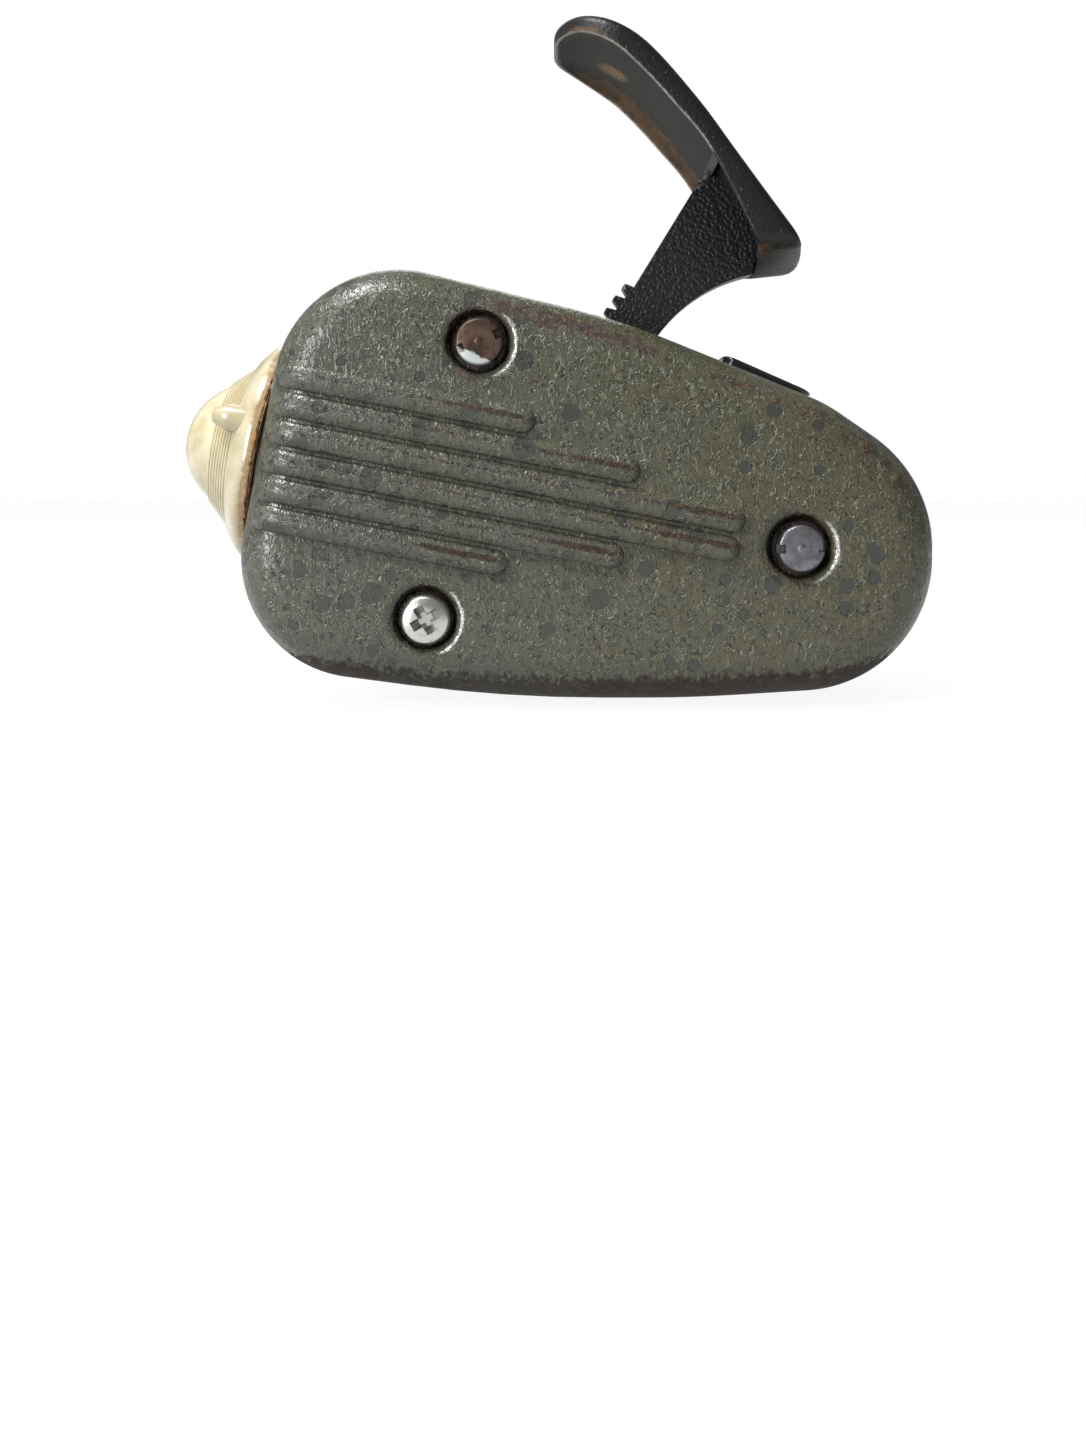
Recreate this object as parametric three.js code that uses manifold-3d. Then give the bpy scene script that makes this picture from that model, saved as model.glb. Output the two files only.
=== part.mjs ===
// Squeeze dynamo flashlight: pressed steel casing, die-cast lever, gear train, magnet generator and lamp.
// Lengths are in millimetres. +X runs to the tail, +Z up, and the casing seam lies near the plane y = 0.
import * as THREE from 'three';
import { mergeVertices } from 'three/addons/utils/BufferGeometryUtils.js';
import Module from 'manifold-3d';

const wasm = await Module();
wasm.setup();

// Shared clearances and modelling limits
const fit = 0.3;
const runningFit = 0.15;
const cutOverrun = 6;
const arcStepDegrees = 14;
const roundSides = 18;
const smallSides = 10;
const lampSides = 26;
const cornerSides = 4;
const weld = 1e-4;

// Casing halves
const casingLength = 104.6;
const casingHeight = 66;
const casingHalfDepth = 22.3;
const sheet = 1.2;
const lipProud = sheet + fit;
const lipOverlap = 1.8;
const lipLand = 0.3;
const seamEdge = 0.1;
const flareSteps = 3;
const faceEdgeSteps = 3;
const flareWidth = 5.2;
const faceEdgeRadius = 6.5;

// Corners of the side outline: shares of the length and height, and the radius as a share of the height
const casingCornerShares = [
  [-0.4832, 0.0869, 0.29],
  [-0.0658, 0, 3.3],
  [0.1961, 0, 3.2],
  [0.5486, 0.0344, 0.32],
  [0.5514, 0.5269, 0.329],
  [0.3923, 0.7002, 0.36],
  [0.1058, 0.8842, 1.71],
  [-0.3634, 1.0679, 0.3035],
];

// Pressed ribs, in rows parallel to the lamp axis
const ribPitch = 4.13;
const ribHalfWidth = 1.4;
const ribHeight = 0.85;
const ribStart = 4.62;
const ribEndSteps = 2;
const ribSides = 8;
const ribEndShares = [0.3712, 0.5248, 0.6783, 0.6783, 0.5248, 0.3712];
const patternRise = 1.3;

// Slot in the top for the lever arm
const slotFrontReach = 40;
const slotFloorRise = 8;
const slotSideGap = 0.5;
const slotRearDegrees = 53;

// Casing screws and the dishes they sit in
const screwForward = 30.57;
const screwSpread = 20.2;
const tailScrewForward = 81.32;
const dishRadius = 5.9;
const dishFloorRadius = 4.1;
const dishDepth = 2.2;
const dishSlope = 1.3;
const screwHeadRadius = 3.3;
const screwHeadHeight = 2.6;
const crossHeadRadius = 3.65;
const screwShankRadius = 1.45;
const screwReach = 7;
const notchWidth = 1.6;
const notchDepth = 1.1;
const crossWidth = 1;
const crossDepth = 1.2;
const postRadius = 2.6;

// Lens, seal, reflector and bulb, measured along the lamp axis from the lip plane
const lensHeightShare = 0.5747;
const lensRadius = 17.4;
const lensRise = 13.32;
const lensWall = 1.6;
const domeRadius = 9.4;
const domeSag = 5.95;
const ringCount = 7;
const ringTreadShare = 0.75;
const domeSteps = 6;
const ringTopRise = 7.3;
const ringInnerRadius = 9.9;
const ringOuterRadius = 13.7;
const ringFootRise = 3.6;
const collarRadius = 16.9;
const collarRise = 1.1;
const flangeThickness = 0.2;
const spigotRadius = 15.6;
const spigotLength = 3.2;
const nubRadius = 2.15;
const nubLength = 5.5;
const nubFoot = 1.4;
const nubSpread = 13.6;
const nubRise = 4.15;
const nubSides = 8;
// Width of a nub and height over its foot, as shares of its radius and length
const nubShares = [[1, 0], [0.9, 0.6], [0.55, 0.92], [0, 1]];
const sealThickness = 0.7;
const sealOuterRadius = 16.9;
const reflectorRimRadius = 16;
const reflectorMouthRadius = 14;
const reflectorNeckRadius = 6;
const reflectorWall = 0.8;
const reflectorDepth = 10.7;
const reflectorNeckLength = 4;
const reflectorSteps = 4;
const bulbRadius = 5.3;
const bulbNeckRadius = 3.9;
const bulbWall = 0.6;
const bulbSteps = 5;
const bulbCapRadius = 4.7;
const bulbCapLength = 8.6;
const bulbTipRadius = 1.8;
const bulbTipLength = 1;
const socketWall = 0.6;
const socketBack = 1;
const contactThickness = 0.4;
const contactRadius = 3;

// Lever and its toothed sector, about the lever pivot
const pivotXShare = 0.3497;
const pivotZShare = 0.6395;
const leverThickness = 4;
const leverTravelDegrees = 35;
const sectorModule = 0.75;
const sectorFullTeeth = 88;
const sectorTeeth = 11;
const sectorTeethPastPinion = 1;
const pinionDirectionDegrees = 85.6;
const innerArcRadius = 24.3;
const innerArcFromDegrees = 12;
const innerArcSteps = 8;
const spokeTopDegrees = 72;
const spokeHubTopDegrees = 30;
const spokeHubLowDegrees = 140;
const hubRadius = 2.35;
const axleRadius = 1.5;
const handleReach = 70.1;
const handleHalfWidth = 15.2;
const handlePlate = 1.8;
const handleRim = 2.2;
const handleTipRadius = 12;
const handleTipSegments = 5;
const handleTailWall = 1.6;
const crossWallPlace = 19;
const crossWallThickness = 1.5;
// Back and lower edge of the handle from tail to tip, as shares of its reach from the pivot
const handleBackShares = [
  [0.0228, 0.3709],
  [-0.0556, 0.4765],
  [-0.1298, 0.5777],
  [-0.2054, 0.6805],
  [-0.3053, 0.7946],
  [-0.3766, 0.8459],
  [-0.4522, 0.8745],
  [-0.515, 0.8788],
];
const handleEdgeShares = [
  [-0.0884, 0.3581],
  [-0.1769, 0.5735],
  [-0.2611, 0.6819],
  [-0.3324, 0.7589],
  [-0.3894, 0.8046],
  [-0.4608, 0.835],
  [-0.515, 0.8417],
];
const armFrontShare = [-0.1612, 0.5949];
const armHeelShare = [-0.0656, 0.3623];
const handleSteps = 14;
const armMeetsBackShare = 0.36;

// Lock slide and the stud that it catches
const slideLength = 15;
const slideWidth = 10;
const slideThickness = 1.2;
const slideBevel = 0.4;
const slideTravel = 4;
const slideForwardOfPivot = 3.15;
const tongueThickness = 0.8;
const tongueWidth = 2.8;
const tongueBack = 3.5;
const tongueDrop = 5.1;
const hookHeight = 1.6;
const hookReach = 9.3;
const studRadius = 1;
const studHeight = 0.9;
const studOrbit = 12;
const studDegrees = 82;

// Frame plates and the shafts that they carry
const plateGap = 6.8;
const plateThickness = 1.2;
const plateCornerRadius = 4;
const plateShoulderRadius = 3.2;
const plateShoulderShares = [0.1633, 0.7425];
const shaftRadius = 1.5;
const shaftOverhang = 0.5;
const pinionTeeth = 10;
const fineModule = 0.5;
const driveTeeth = 36;
const idlerPinionTeeth = 12;
const idlerWheelTeeth = 32;
const rotorPinionTeeth = 12;
const rotorXShare = 0.039;
const rotorZShare = 0.3486;
const pinionWidth = 4.6;
const ratchetTeeth = 12;
const ratchetRadius = 4.6;
const ratchetToothDepth = 0.8;
const ratchetCrestShare = 0.94;
const ratchetWidth = 1.2;
const pawlPivotRadius = 7.3;
const pawlEyeRadius = 1.1;
const pawlTipRadius = 0.35;
const pawlSpanDegrees = 52;
const pawlCount = 2;
const wheelWidth = 1.8;
const wheelGap = 0.4;
const bridgeThickness = 1.2;
const spacerRadius = 1.5;
const tenonRadius = 0.9;
const bridgeSpacerShares = [[-0.1138, 0.6969], [0.1344, 0.4399], [-0.1159, 0.358]];
const stopPinRadius = 1.2;
const openStopShare = 0.63;
const closedStopOrbit = 14;

// Tooth form
const pressureDegrees = 20;
const wheelAddendumShare = 0.6;
const pinionAddendumShare = 0.9;
const dedendumShare = 1.25;
const undercutShare = 0.97;
const toothThinning = 0.12;

// Generator on the near side
const rotorShaftRadius = 1.2;
const magnetRadius = 8;
const magnetLength = 6;
const coreThickness = 5;
const coreFromPlate = 2.9;
const coreHalfHeight = 11.5;
const coreFront = 11;
const coreBack = 21;
const coreArmDepth = 4;
const poleGap = 0.6;
const poleSlot = 4;
const windowStart = 10;
const windowHalfHeight = 7.5;
const coilThickness = 2.3;
const coilClearance = 0.3;
const coreSpacerX = 8.6;
const coreSpacerZ = 9;
const bracketGap = 3.4;
const bracketThickness = 1.2;
const bushRadius = 2.3;
const bushFlange = 3;
const bushFlangeThickness = 0.6;

// Lever return spring, wound round the tail screw post
const springWire = 0.4;
const springCoilRadius = 3.4;
const springTurns = 4;
const springPitch = 1.3;
const springStepsPerTurn = 8;
const springSides = 5;
const springLegOrbit = 15;
const springLegDrop = 12;
const springCoilShare = 0.85;

// Lead from the coil to the lamp socket
const leadRadius = 0.55;
const leadSteps = 20;
const leadSides = 6;

// Derived places in the side view
const casingCorners = casingCornerShares.map(([x, z, radius]) => ({
  x: x * casingLength,
  z: z * casingHeight,
  radius: radius * casingHeight,
}));
const frontFoot = casingCorners[0];
const frontHead = casingCorners[casingCorners.length - 1];
const topEdge = casingCorners.slice(-3, -1);
const frontUp = new THREE.Vector2(frontHead.x - frontFoot.x, frontHead.z - frontFoot.z).normalize();
const lampInward = new THREE.Vector2(frontUp.y, -frontUp.x);
const lensHeight = lensHeightShare * casingHeight;
const frontRun = (lensHeight - frontFoot.z) / frontUp.y;
const lampBase = new THREE.Vector2(frontFoot.x + frontUp.x * frontRun, lensHeight);
const pivot = new THREE.Vector2(pivotXShare * casingLength, pivotZShare * casingHeight);
const rotorCentre = new THREE.Vector2(rotorXShare * casingLength, rotorZShare * casingHeight);

// A point given by its distance inward along the lamp axis and its rise along the front plane
function lampPoint(inward, rise) {
  return lampBase.clone().addScaledVector(lampInward, inward).addScaledVector(frontUp, rise);
}

const screwPlaces = [
  lampPoint(screwForward, patternRise + screwSpread),
  lampPoint(tailScrewForward, patternRise),
  lampPoint(screwForward, patternRise - screwSpread),
];

// Depths of the layers across the casing
const plateInner = plateGap / 2;
const plateOuter = plateInner + plateThickness;
const ratchetFrom = plateOuter + fit;
const driveFrom = ratchetFrom + ratchetWidth + fit;
const idlerWheelFrom = driveFrom + wheelWidth + wheelGap;
const bridgeFrom = idlerWheelFrom + wheelWidth + wheelGap;
const bridgeTo = bridgeFrom + bridgeThickness;
const coreNear = -(plateOuter + coreFromPlate + coreThickness);
const coreFar = -(plateOuter + coreFromPlate);
const bracketFar = coreNear - bracketGap;
const bracketNear = bracketFar - bracketThickness;

// Shaft centres, each a gear mesh apart
const sectorPitchRadius = sectorModule * sectorFullTeeth / 2;
const pinionPitchRadius = sectorModule * pinionTeeth / 2;
const drivePitchRadius = fineModule * driveTeeth / 2;
const idlerPinionPitchRadius = fineModule * idlerPinionTeeth / 2;
const idlerWheelPitchRadius = fineModule * idlerWheelTeeth / 2;
const rotorPinionPitchRadius = fineModule * rotorPinionTeeth / 2;
const pinionCentre = fromPivot(sectorPitchRadius + pinionPitchRadius, pinionDirectionDegrees);
const idlerCentre = meshPoint(
  pinionCentre,
  drivePitchRadius + idlerPinionPitchRadius,
  rotorCentre,
  idlerWheelPitchRadius + rotorPinionPitchRadius,
);

// A point at a radius from the lever pivot, its angle counted from straight up towards the lens
function fromPivot(radius, degrees) {
  const angle = THREE.MathUtils.degToRad(degrees);
  return new THREE.Vector2(pivot.x - radius * Math.sin(angle), pivot.y + radius * Math.cos(angle));
}

// The crossing of two circles that lies on the lens side
function meshPoint(centreA, radiusA, centreB, radiusB) {
  const span = centreB.clone().sub(centreA);
  const distance = span.length();
  const along = (radiusA ** 2 - radiusB ** 2 + distance ** 2) / (2 * distance);
  const aside = Math.sqrt(Math.max(radiusA ** 2 - along ** 2, 0));
  span.normalize();
  return centreA.clone().addScaledVector(span, along).add(
    new THREE.Vector2(span.y, -span.x).multiplyScalar(aside),
  );
}

// Solids and booleans
function toManifold(geometry) {
  const bare = new THREE.BufferGeometry();
  bare.setAttribute('position', geometry.getAttribute('position'));
  bare.setIndex(geometry.getIndex());
  const welded = mergeVertices(bare, weld);
  return new wasm.Manifold(new wasm.Mesh({
    numProp: 3,
    vertProperties: Float32Array.from(welded.getAttribute('position').array),
    triVerts: Uint32Array.from(welded.getIndex().array),
  }));
}

function toGeometry(manifold) {
  const { vertProperties, triVerts } = manifold.getMesh();
  const geometry = new THREE.BufferGeometry();
  geometry.setAttribute('position', new THREE.BufferAttribute(Float32Array.from(vertProperties), 3));
  geometry.setIndex(Array.from(triVerts));
  const flat = geometry.toNonIndexed();
  flat.computeVertexNormals();
  return flat;
}

function join(...geometries) {
  return toGeometry(geometries.map(toManifold).reduce((a, b) => a.add(b)));
}

function cut(geometry, ...tools) {
  return toGeometry(tools.map(toManifold).reduce((a, b) => a.subtract(b), toManifold(geometry)));
}

function overlap(a, b) {
  return toGeometry(toManifold(a).intersect(toManifold(b)));
}

// Prism whose outline lies in the side view, between two depths
function prism(outline, yLow, yHigh, curveSegments = roundSides) {
  const shape = Array.isArray(outline) ? new THREE.Shape(outline) : outline;
  const geometry = new THREE.ExtrudeGeometry(shape, {
    depth: yHigh - yLow,
    bevelEnabled: false,
    curveSegments,
  });
  geometry.rotateX(Math.PI / 2);
  geometry.translate(0, yHigh, 0);
  return geometry;
}

// Body of revolution about the depth axis through a side-view point, from radius and depth pairs
function turned(profile, centre = new THREE.Vector2(), sides = roundSides) {
  const points = profile.map(([r, y]) => new THREE.Vector2(r, y));
  if (THREE.ShapeUtils.area(points) < 0) points.reverse();
  const geometry = new THREE.LatheGeometry(points, sides);
  geometry.translate(centre.x, 0, centre.y);
  return geometry;
}

function rod(radius, yLow, yHigh, centre, sides) {
  return turned([[0, yLow], [radius, yLow], [radius, yHigh], [0, yHigh]], centre, sides);
}

function circleHole(radius, centre, sides = roundSides) {
  const hole = new THREE.Path();
  const points = [];
  for (let i = 0; i < sides; i += 1) {
    const angle = -2 * Math.PI * i / sides;
    points.push(new THREE.Vector2(centre.x + radius * Math.cos(angle), centre.y + radius * Math.sin(angle)));
  }
  hole.setFromPoints(points);
  return hole;
}

// Outline of a belt drawn tight round circles that are listed anticlockwise
function beltShape(circles) {
  const points = [];
  const normals = circles.map((from, i) => {
    const to = circles[(i + 1) % circles.length];
    const dx = to.x - from.x;
    const dz = to.z - from.z;
    return Math.atan2(dz, dx) - Math.acos((from.radius - to.radius) / Math.hypot(dx, dz));
  });
  circles.forEach((circle, i) => {
    const start = normals[(i + circles.length - 1) % circles.length];
    let turn = normals[i] - start;
    while (turn < 0) turn += 2 * Math.PI;
    const steps = Math.max(1, Math.round(THREE.MathUtils.radToDeg(turn) / (2 * arcStepDegrees)));
    for (let k = 0; k <= steps; k += 1) {
      const angle = start + turn * k / steps;
      points.push(new THREE.Vector2(
        circle.x + circle.radius * Math.cos(angle),
        circle.z + circle.radius * Math.sin(angle),
      ));
    }
  });
  return new THREE.Shape(points);
}

function disc(centre, radius) {
  return { x: centre.x, z: centre.y, radius };
}

// Ring of the casing outline, drawn in from it by an inset
function casingRing(inset, y) {
  const points = [];
  casingCorners.forEach((corner, i) => {
    const before = casingCorners[(i + casingCorners.length - 1) % casingCorners.length];
    const after = casingCorners[(i + 1) % casingCorners.length];
    const angleIn = Math.atan2(corner.z - before.z, corner.x - before.x);
    const angleOut = Math.atan2(after.z - corner.z, after.x - corner.x);
    let turn = angleOut - angleIn;
    while (turn < 0) turn += 2 * Math.PI;
    const bisector = angleIn + turn / 2 + Math.PI / 2;
    const reach = corner.radius / Math.cos(turn / 2);
    const centreX = corner.x + reach * Math.cos(bisector);
    const centreZ = corner.z + reach * Math.sin(bisector);
    const steps = Math.max(2, Math.round(THREE.MathUtils.radToDeg(turn) / arcStepDegrees));
    for (let k = 0; k <= steps; k += 1) {
      const angle = angleIn - Math.PI / 2 + turn * k / steps;
      points.push(new THREE.Vector3(
        centreX + (corner.radius - inset) * Math.cos(angle),
        y,
        centreZ + (corner.radius - inset) * Math.sin(angle),
      ));
    }
  });
  return points;
}

// Closed skin through rings of equal count, with a fan over the first and the last
function loft(rings) {
  const count = rings[0].length;
  const points = rings.flat();
  const triangles = [];
  for (let r = 0; r + 1 < rings.length; r += 1) {
    for (let k = 0; k < count; k += 1) {
      const a = r * count + k;
      const b = r * count + (k + 1) % count;
      triangles.push(a, b, a + count, b, b + count, a + count);
    }
  }
  [rings[0], rings[rings.length - 1]].forEach((ring, end) => {
    const first = end === 0 ? 0 : (rings.length - 1) * count;
    const middle = points.length;
    const sum = ring.reduce((total, p) => total.add(p), new THREE.Vector3());
    points.push(sum.divideScalar(count));
    for (let k = 0; k < count; k += 1) {
      const a = first + k;
      const b = first + (k + 1) % count;
      triangles.push(middle, end === 0 ? b : a, end === 0 ? a : b);
    }
  });
  const geometry = new THREE.BufferGeometry().setFromPoints(points);
  geometry.setIndex(signedVolume(points, triangles) > 0 ? triangles : triangles.reverse());
  return geometry;
}

function signedVolume(points, triangles) {
  let sum = 0;
  for (let t = 0; t < triangles.length; t += 3) {
    const [a, b, c] = [points[triangles[t]], points[triangles[t + 1]], points[triangles[t + 2]]];
    sum += a.dot(b.clone().cross(c));
  }
  return sum;
}

// Rounded edge between the walls and the flat face, as inset and depth pairs
function faceEdge(radius, wallInset, faceDepth) {
  const pairs = [];
  for (let k = 0; k <= faceEdgeSteps; k += 1) {
    const angle = Math.PI / 2 * k / faceEdgeSteps;
    const reach = radius * (1 - Math.cos(angle));
    const rise = radius * (1 - Math.sin(angle));
    pairs.push([wallInset + reach, faceDepth - rise]);
  }
  return pairs;
}

function halfShell(side, edgePairs, innerEdgePairs) {
  const innerRadius = faceEdgeRadius - sheet;
  const outer = [...edgePairs, ...faceEdge(faceEdgeRadius, lipProud, casingHalfDepth)].reverse();
  const inner = [
    ...innerEdgePairs,
    ...faceEdge(innerRadius, lipProud + sheet, casingHalfDepth - sheet),
  ];
  return loft([...outer, ...inner].map(([inset, depth]) => casingRing(inset, side * depth)));
}

// One raised rib: a long rounded bar half sunk in the sheet
function rib(side, row) {
  const from = lampPoint(ribStart, patternRise + ((ribEndShares.length - 1) / 2 - row) * ribPitch);
  const length = ribEndShares[row] * casingLength - ribStart;
  const bar = new THREE.CapsuleGeometry(ribHalfWidth, length, ribEndSteps, ribSides);
  bar.scale(1, 1, ribHeight / ribHalfWidth);
  bar.rotateZ(-Math.PI / 2);
  bar.translate(length / 2, 0, 0);
  bar.rotateX(Math.PI / 2);
  bar.rotateY(Math.atan2(-lampInward.y, lampInward.x));
  bar.translate(from.x, side * casingHalfDepth, from.y);
  return bar;
}

// Local +Y runs out of the lens along the lamp axis, and local +X up the front
function alongLamp(geometry) {
  const up = new THREE.Vector3(frontUp.x, 0, frontUp.y);
  const outward = new THREE.Vector3(-lampInward.x, 0, -lampInward.y);
  geometry.applyMatrix4(new THREE.Matrix4().makeBasis(up, outward, up.clone().cross(outward)));
  geometry.translate(lampBase.x, 0, lampBase.y);
  return geometry;
}

function lampOpening() {
  const hole = alongLamp(turned([
    [0, -lipProud - sheet - cutOverrun],
    [spigotRadius + fit, -lipProud - sheet - cutOverrun],
    [spigotRadius + fit, -lipProud],
    [lensRadius + fit, -lipProud],
    [lensRadius + fit, cutOverrun],
    [0, cutOverrun],
  ], undefined, lampSides));
  return hole;
}

// Slot in the top for the sector arm
function leverSlot() {
  const tail = fromPivot(innerArcRadius - fit, 0).y;
  const rear = pivot.x - slotRearReach();
  const front = pivot.x - slotFrontReach;
  const half = leverThickness / 2 + slotSideGap;
  return prism([
    new THREE.Vector2(front, pivot.y + slotFloorRise),
    new THREE.Vector2(rear, pivot.y + slotFloorRise),
    new THREE.Vector2(rear, tail),
    new THREE.Vector2(front, tail),
  ], -half, half);
}

function slotRearReach() {
  return (innerArcRadius - fit) * Math.sin(THREE.MathUtils.degToRad(slotRearDegrees));
}

// Slot in the top for the tongue of the lock slide
function tongueSlot() {
  const rear = pivot.x - tongueBack + fit;
  const front = rear - tongueWidth - slideTravel - 2 * fit;
  const near = -(leverThickness / 2 + fit + tongueThickness + fit);
  return prism([
    new THREE.Vector2(front, pivot.y + hubRadius),
    new THREE.Vector2(rear, pivot.y + hubRadius),
    new THREE.Vector2(rear, casingHeight),
    new THREE.Vector2(front, casingHeight),
  ], near, near + tongueThickness + 2 * fit);
}

function nearCasingHalf() {
  let shell = halfShell(-1, [[lipProud, seamEdge]], [[lipProud + sheet, seamEdge]]);
  const face = -casingHalfDepth;
  const cups = screwPlaces.map((centre) => turned([
    [0, face + dishDepth + sheet],
    [dishFloorRadius + sheet, face + dishDepth + sheet],
    [dishRadius + sheet / 2, face + sheet],
    [dishRadius + sheet / 2, face + sheet / 2],
    [0, face + sheet / 2],
  ], centre));
  const dishes = screwPlaces.map((centre) => turned([
    [0, face + dishDepth],
    [dishFloorRadius, face + dishDepth],
    [dishFloorRadius, face + dishSlope],
    [dishRadius, face],
    [dishRadius, face - cutOverrun],
    [0, face - cutOverrun],
  ], centre));
  const holes = screwPlaces.map((centre) => (
    rod(screwShankRadius + fit, face, face + dishDepth + sheet + cutOverrun, centre, smallSides)
  ));
  shell = join(shell, ...cups, ...ribEndShares.map((share, row) => rib(-1, row)));
  return cut(shell, ...dishes, ...holes, lampOpening(), leverSlot(), tongueSlot());
}

function farCasingHalf() {
  const flare = [];
  for (let k = flareSteps; k >= 0; k -= 1) {
    const share = k / flareSteps;
    flare.unshift([lipProud * Math.sin(Math.PI / 2 * share), lipLand + flareWidth * share]);
  }
  const outer = [[0, -lipOverlap], ...flare];
  const inner = outer.map(([inset, depth]) => [inset + sheet, depth]);
  const shell = halfShell(1, outer, inner);
  return cut(
    join(shell, ...ribEndShares.map((share, row) => rib(1, row))),
    lampOpening(),
    leverSlot(),
  );
}

// Screw heads: two with cut notches at the rim, one with a cross recess
function notchedScrew(centre, turnDegrees) {
  const seat = -casingHalfDepth + dishDepth - fit;
  const top = seat - screwHeadHeight;
  const head = turned([
    [0, seat + screwReach],
    [screwShankRadius, seat + screwReach],
    [screwShankRadius, seat],
    [screwHeadRadius, seat],
    [screwHeadRadius, top + notchDepth / 3],
    [screwHeadRadius - notchDepth / 3, top],
    [0, top],
  ]);
  const notch = new THREE.BoxGeometry(2 * (screwHeadRadius + cutOverrun), 2 * notchDepth, notchWidth);
  notch.translate(0, top, 0);
  const keep = rod(screwHeadRadius - notchDepth, top - cutOverrun, seat, undefined, smallSides);
  const screw = cut(head, cut(notch, keep));
  screw.rotateY(-THREE.MathUtils.degToRad(turnDegrees));
  screw.translate(centre.x, 0, centre.y);
  return screw;
}

function crossScrew(centre, turnDegrees) {
  const seat = -casingHalfDepth + dishDepth - fit;
  const top = seat - screwHeadHeight;
  const head = turned([
    [0, seat + screwReach],
    [screwShankRadius, seat + screwReach],
    [screwShankRadius, seat],
    [crossHeadRadius, seat],
    [crossHeadRadius, top + crossDepth],
    [crossHeadRadius - crossDepth / 2, top + crossDepth / 4],
    [crossHeadRadius / 2, top],
    [0, top],
  ]);
  const arm = new THREE.BoxGeometry(crossHeadRadius, 2 * crossDepth, crossWidth);
  arm.translate(0, top, 0);
  const otherArm = arm.clone().rotateY(Math.PI / 2);
  const screw = cut(head, arm, otherArm);
  screw.rotateY(-THREE.MathUtils.degToRad(turnDegrees));
  screw.translate(centre.x, 0, centre.y);
  return screw;
}

// Pillar from the far wall to the dish floor, tapped for the screw
function screwPost(centre) {
  const near = -casingHalfDepth + dishDepth + sheet + fit;
  const far = casingHalfDepth - sheet - fit;
  const bore = screwShankRadius + runningFit;
  const boreEnd = near + screwReach;
  return turned([
    [0, boreEnd],
    [bore, boreEnd],
    [bore, near],
    [postRadius, near],
    [postRadius, far],
    [0, far],
  ], centre);
}

// Lens and lamp
function domePoint(radius, sag, edge, steps, k) {
  const sphere = (edge ** 2 + sag ** 2) / (2 * sag);
  const r = edge * k / steps;
  return [r, radius - sphere + Math.sqrt(sphere ** 2 - r ** 2)];
}

function lens() {
  const outer = [];
  for (let k = 0; k <= domeSteps; k += 1) {
    outer.push(domePoint(lensRise, domeSag, domeRadius, domeSteps, k));
  }
  for (let k = 0; k < ringCount; k += 1) {
    const from = k / ringCount;
    const to = (k + ringTreadShare) / ringCount;
    const radiusAt = (share) => ringInnerRadius + (ringOuterRadius - ringInnerRadius) * share;
    const rise = ringTopRise + (ringFootRise - ringTopRise) * k / (ringCount - 1);
    outer.push([radiusAt(from), rise], [radiusAt(to), rise]);
  }
  outer.push([collarRadius, collarRise], [lensRadius, 0], [lensRadius, -flangeThickness]);
  outer.push([spigotRadius, -flangeThickness], [spigotRadius, -spigotLength]);
  const inner = [
    [spigotRadius - lensWall, -spigotLength],
    [spigotRadius - lensWall, 0],
    [ringOuterRadius - lensWall, ringFootRise - lensWall],
    [ringInnerRadius - lensWall / 2, ringTopRise - lensWall - lensWall / 2],
  ];
  for (let k = domeSteps; k >= 0; k -= 2) {
    inner.push(domePoint(lensRise - lensWall, domeSag, domeRadius - lensWall / 2, domeSteps, k));
  }
  const body = turned([...outer, ...inner], undefined, lampSides);
  const nubs = [-1, 1].map((side) => turned([
    [0, nubFoot],
    ...nubShares.map(([wide, high]) => [nubRadius * wide, nubFoot + nubLength * high]),
  ], new THREE.Vector2(nubRise, side * nubSpread), nubSides));
  return alongLamp(join(body, ...nubs));
}

function lensSeal() {
  const far = -lipProud + fit;
  const near = far + sealThickness;
  return alongLamp(turned([
    [spigotRadius + fit, far],
    [sealOuterRadius, far],
    [sealOuterRadius, near],
    [spigotRadius + fit, near],
    [spigotRadius + fit, far],
  ], undefined, lampSides));
}

const reflectorRimFrom = spigotLength + fit;
const reflectorBowlFrom = reflectorRimFrom + reflectorWall;
const reflectorBowlTo = reflectorBowlFrom + reflectorDepth;

function reflectorRadius(share, radiusExtra) {
  const mouth = reflectorMouthRadius ** 2;
  const neck = reflectorNeckRadius ** 2;
  return Math.sqrt(mouth + (neck - mouth) * share) + radiusExtra;
}

function reflector() {
  const bowl = (extra) => Array.from({ length: reflectorSteps + 1 }, (unused, k) => (
    [reflectorRadius(k / reflectorSteps, extra), -(reflectorBowlFrom + reflectorDepth * k / reflectorSteps)]
  ));
  const neckEnd = -(reflectorBowlTo + reflectorNeckLength);
  return alongLamp(turned([
    [reflectorMouthRadius, -reflectorRimFrom],
    ...bowl(0),
    [reflectorNeckRadius, neckEnd],
    [reflectorNeckRadius + reflectorWall, neckEnd],
    ...bowl(reflectorWall).reverse(),
    [reflectorRimRadius, -reflectorBowlFrom],
    [reflectorRimRadius, -reflectorRimFrom],
    [reflectorMouthRadius, -reflectorRimFrom],
  ], undefined, lampSides));
}

const socketOuterRadius = reflectorNeckRadius - fit;
const socketInnerRadius = socketOuterRadius - socketWall;
const bulbCapFrom = reflectorBowlTo;
const bulbCapTo = bulbCapFrom + bulbCapLength;
const socketFrom = bulbCapFrom + fit;
const socketTo = bulbCapTo + bulbTipLength + fit + contactThickness + fit + socketBack;

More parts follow.
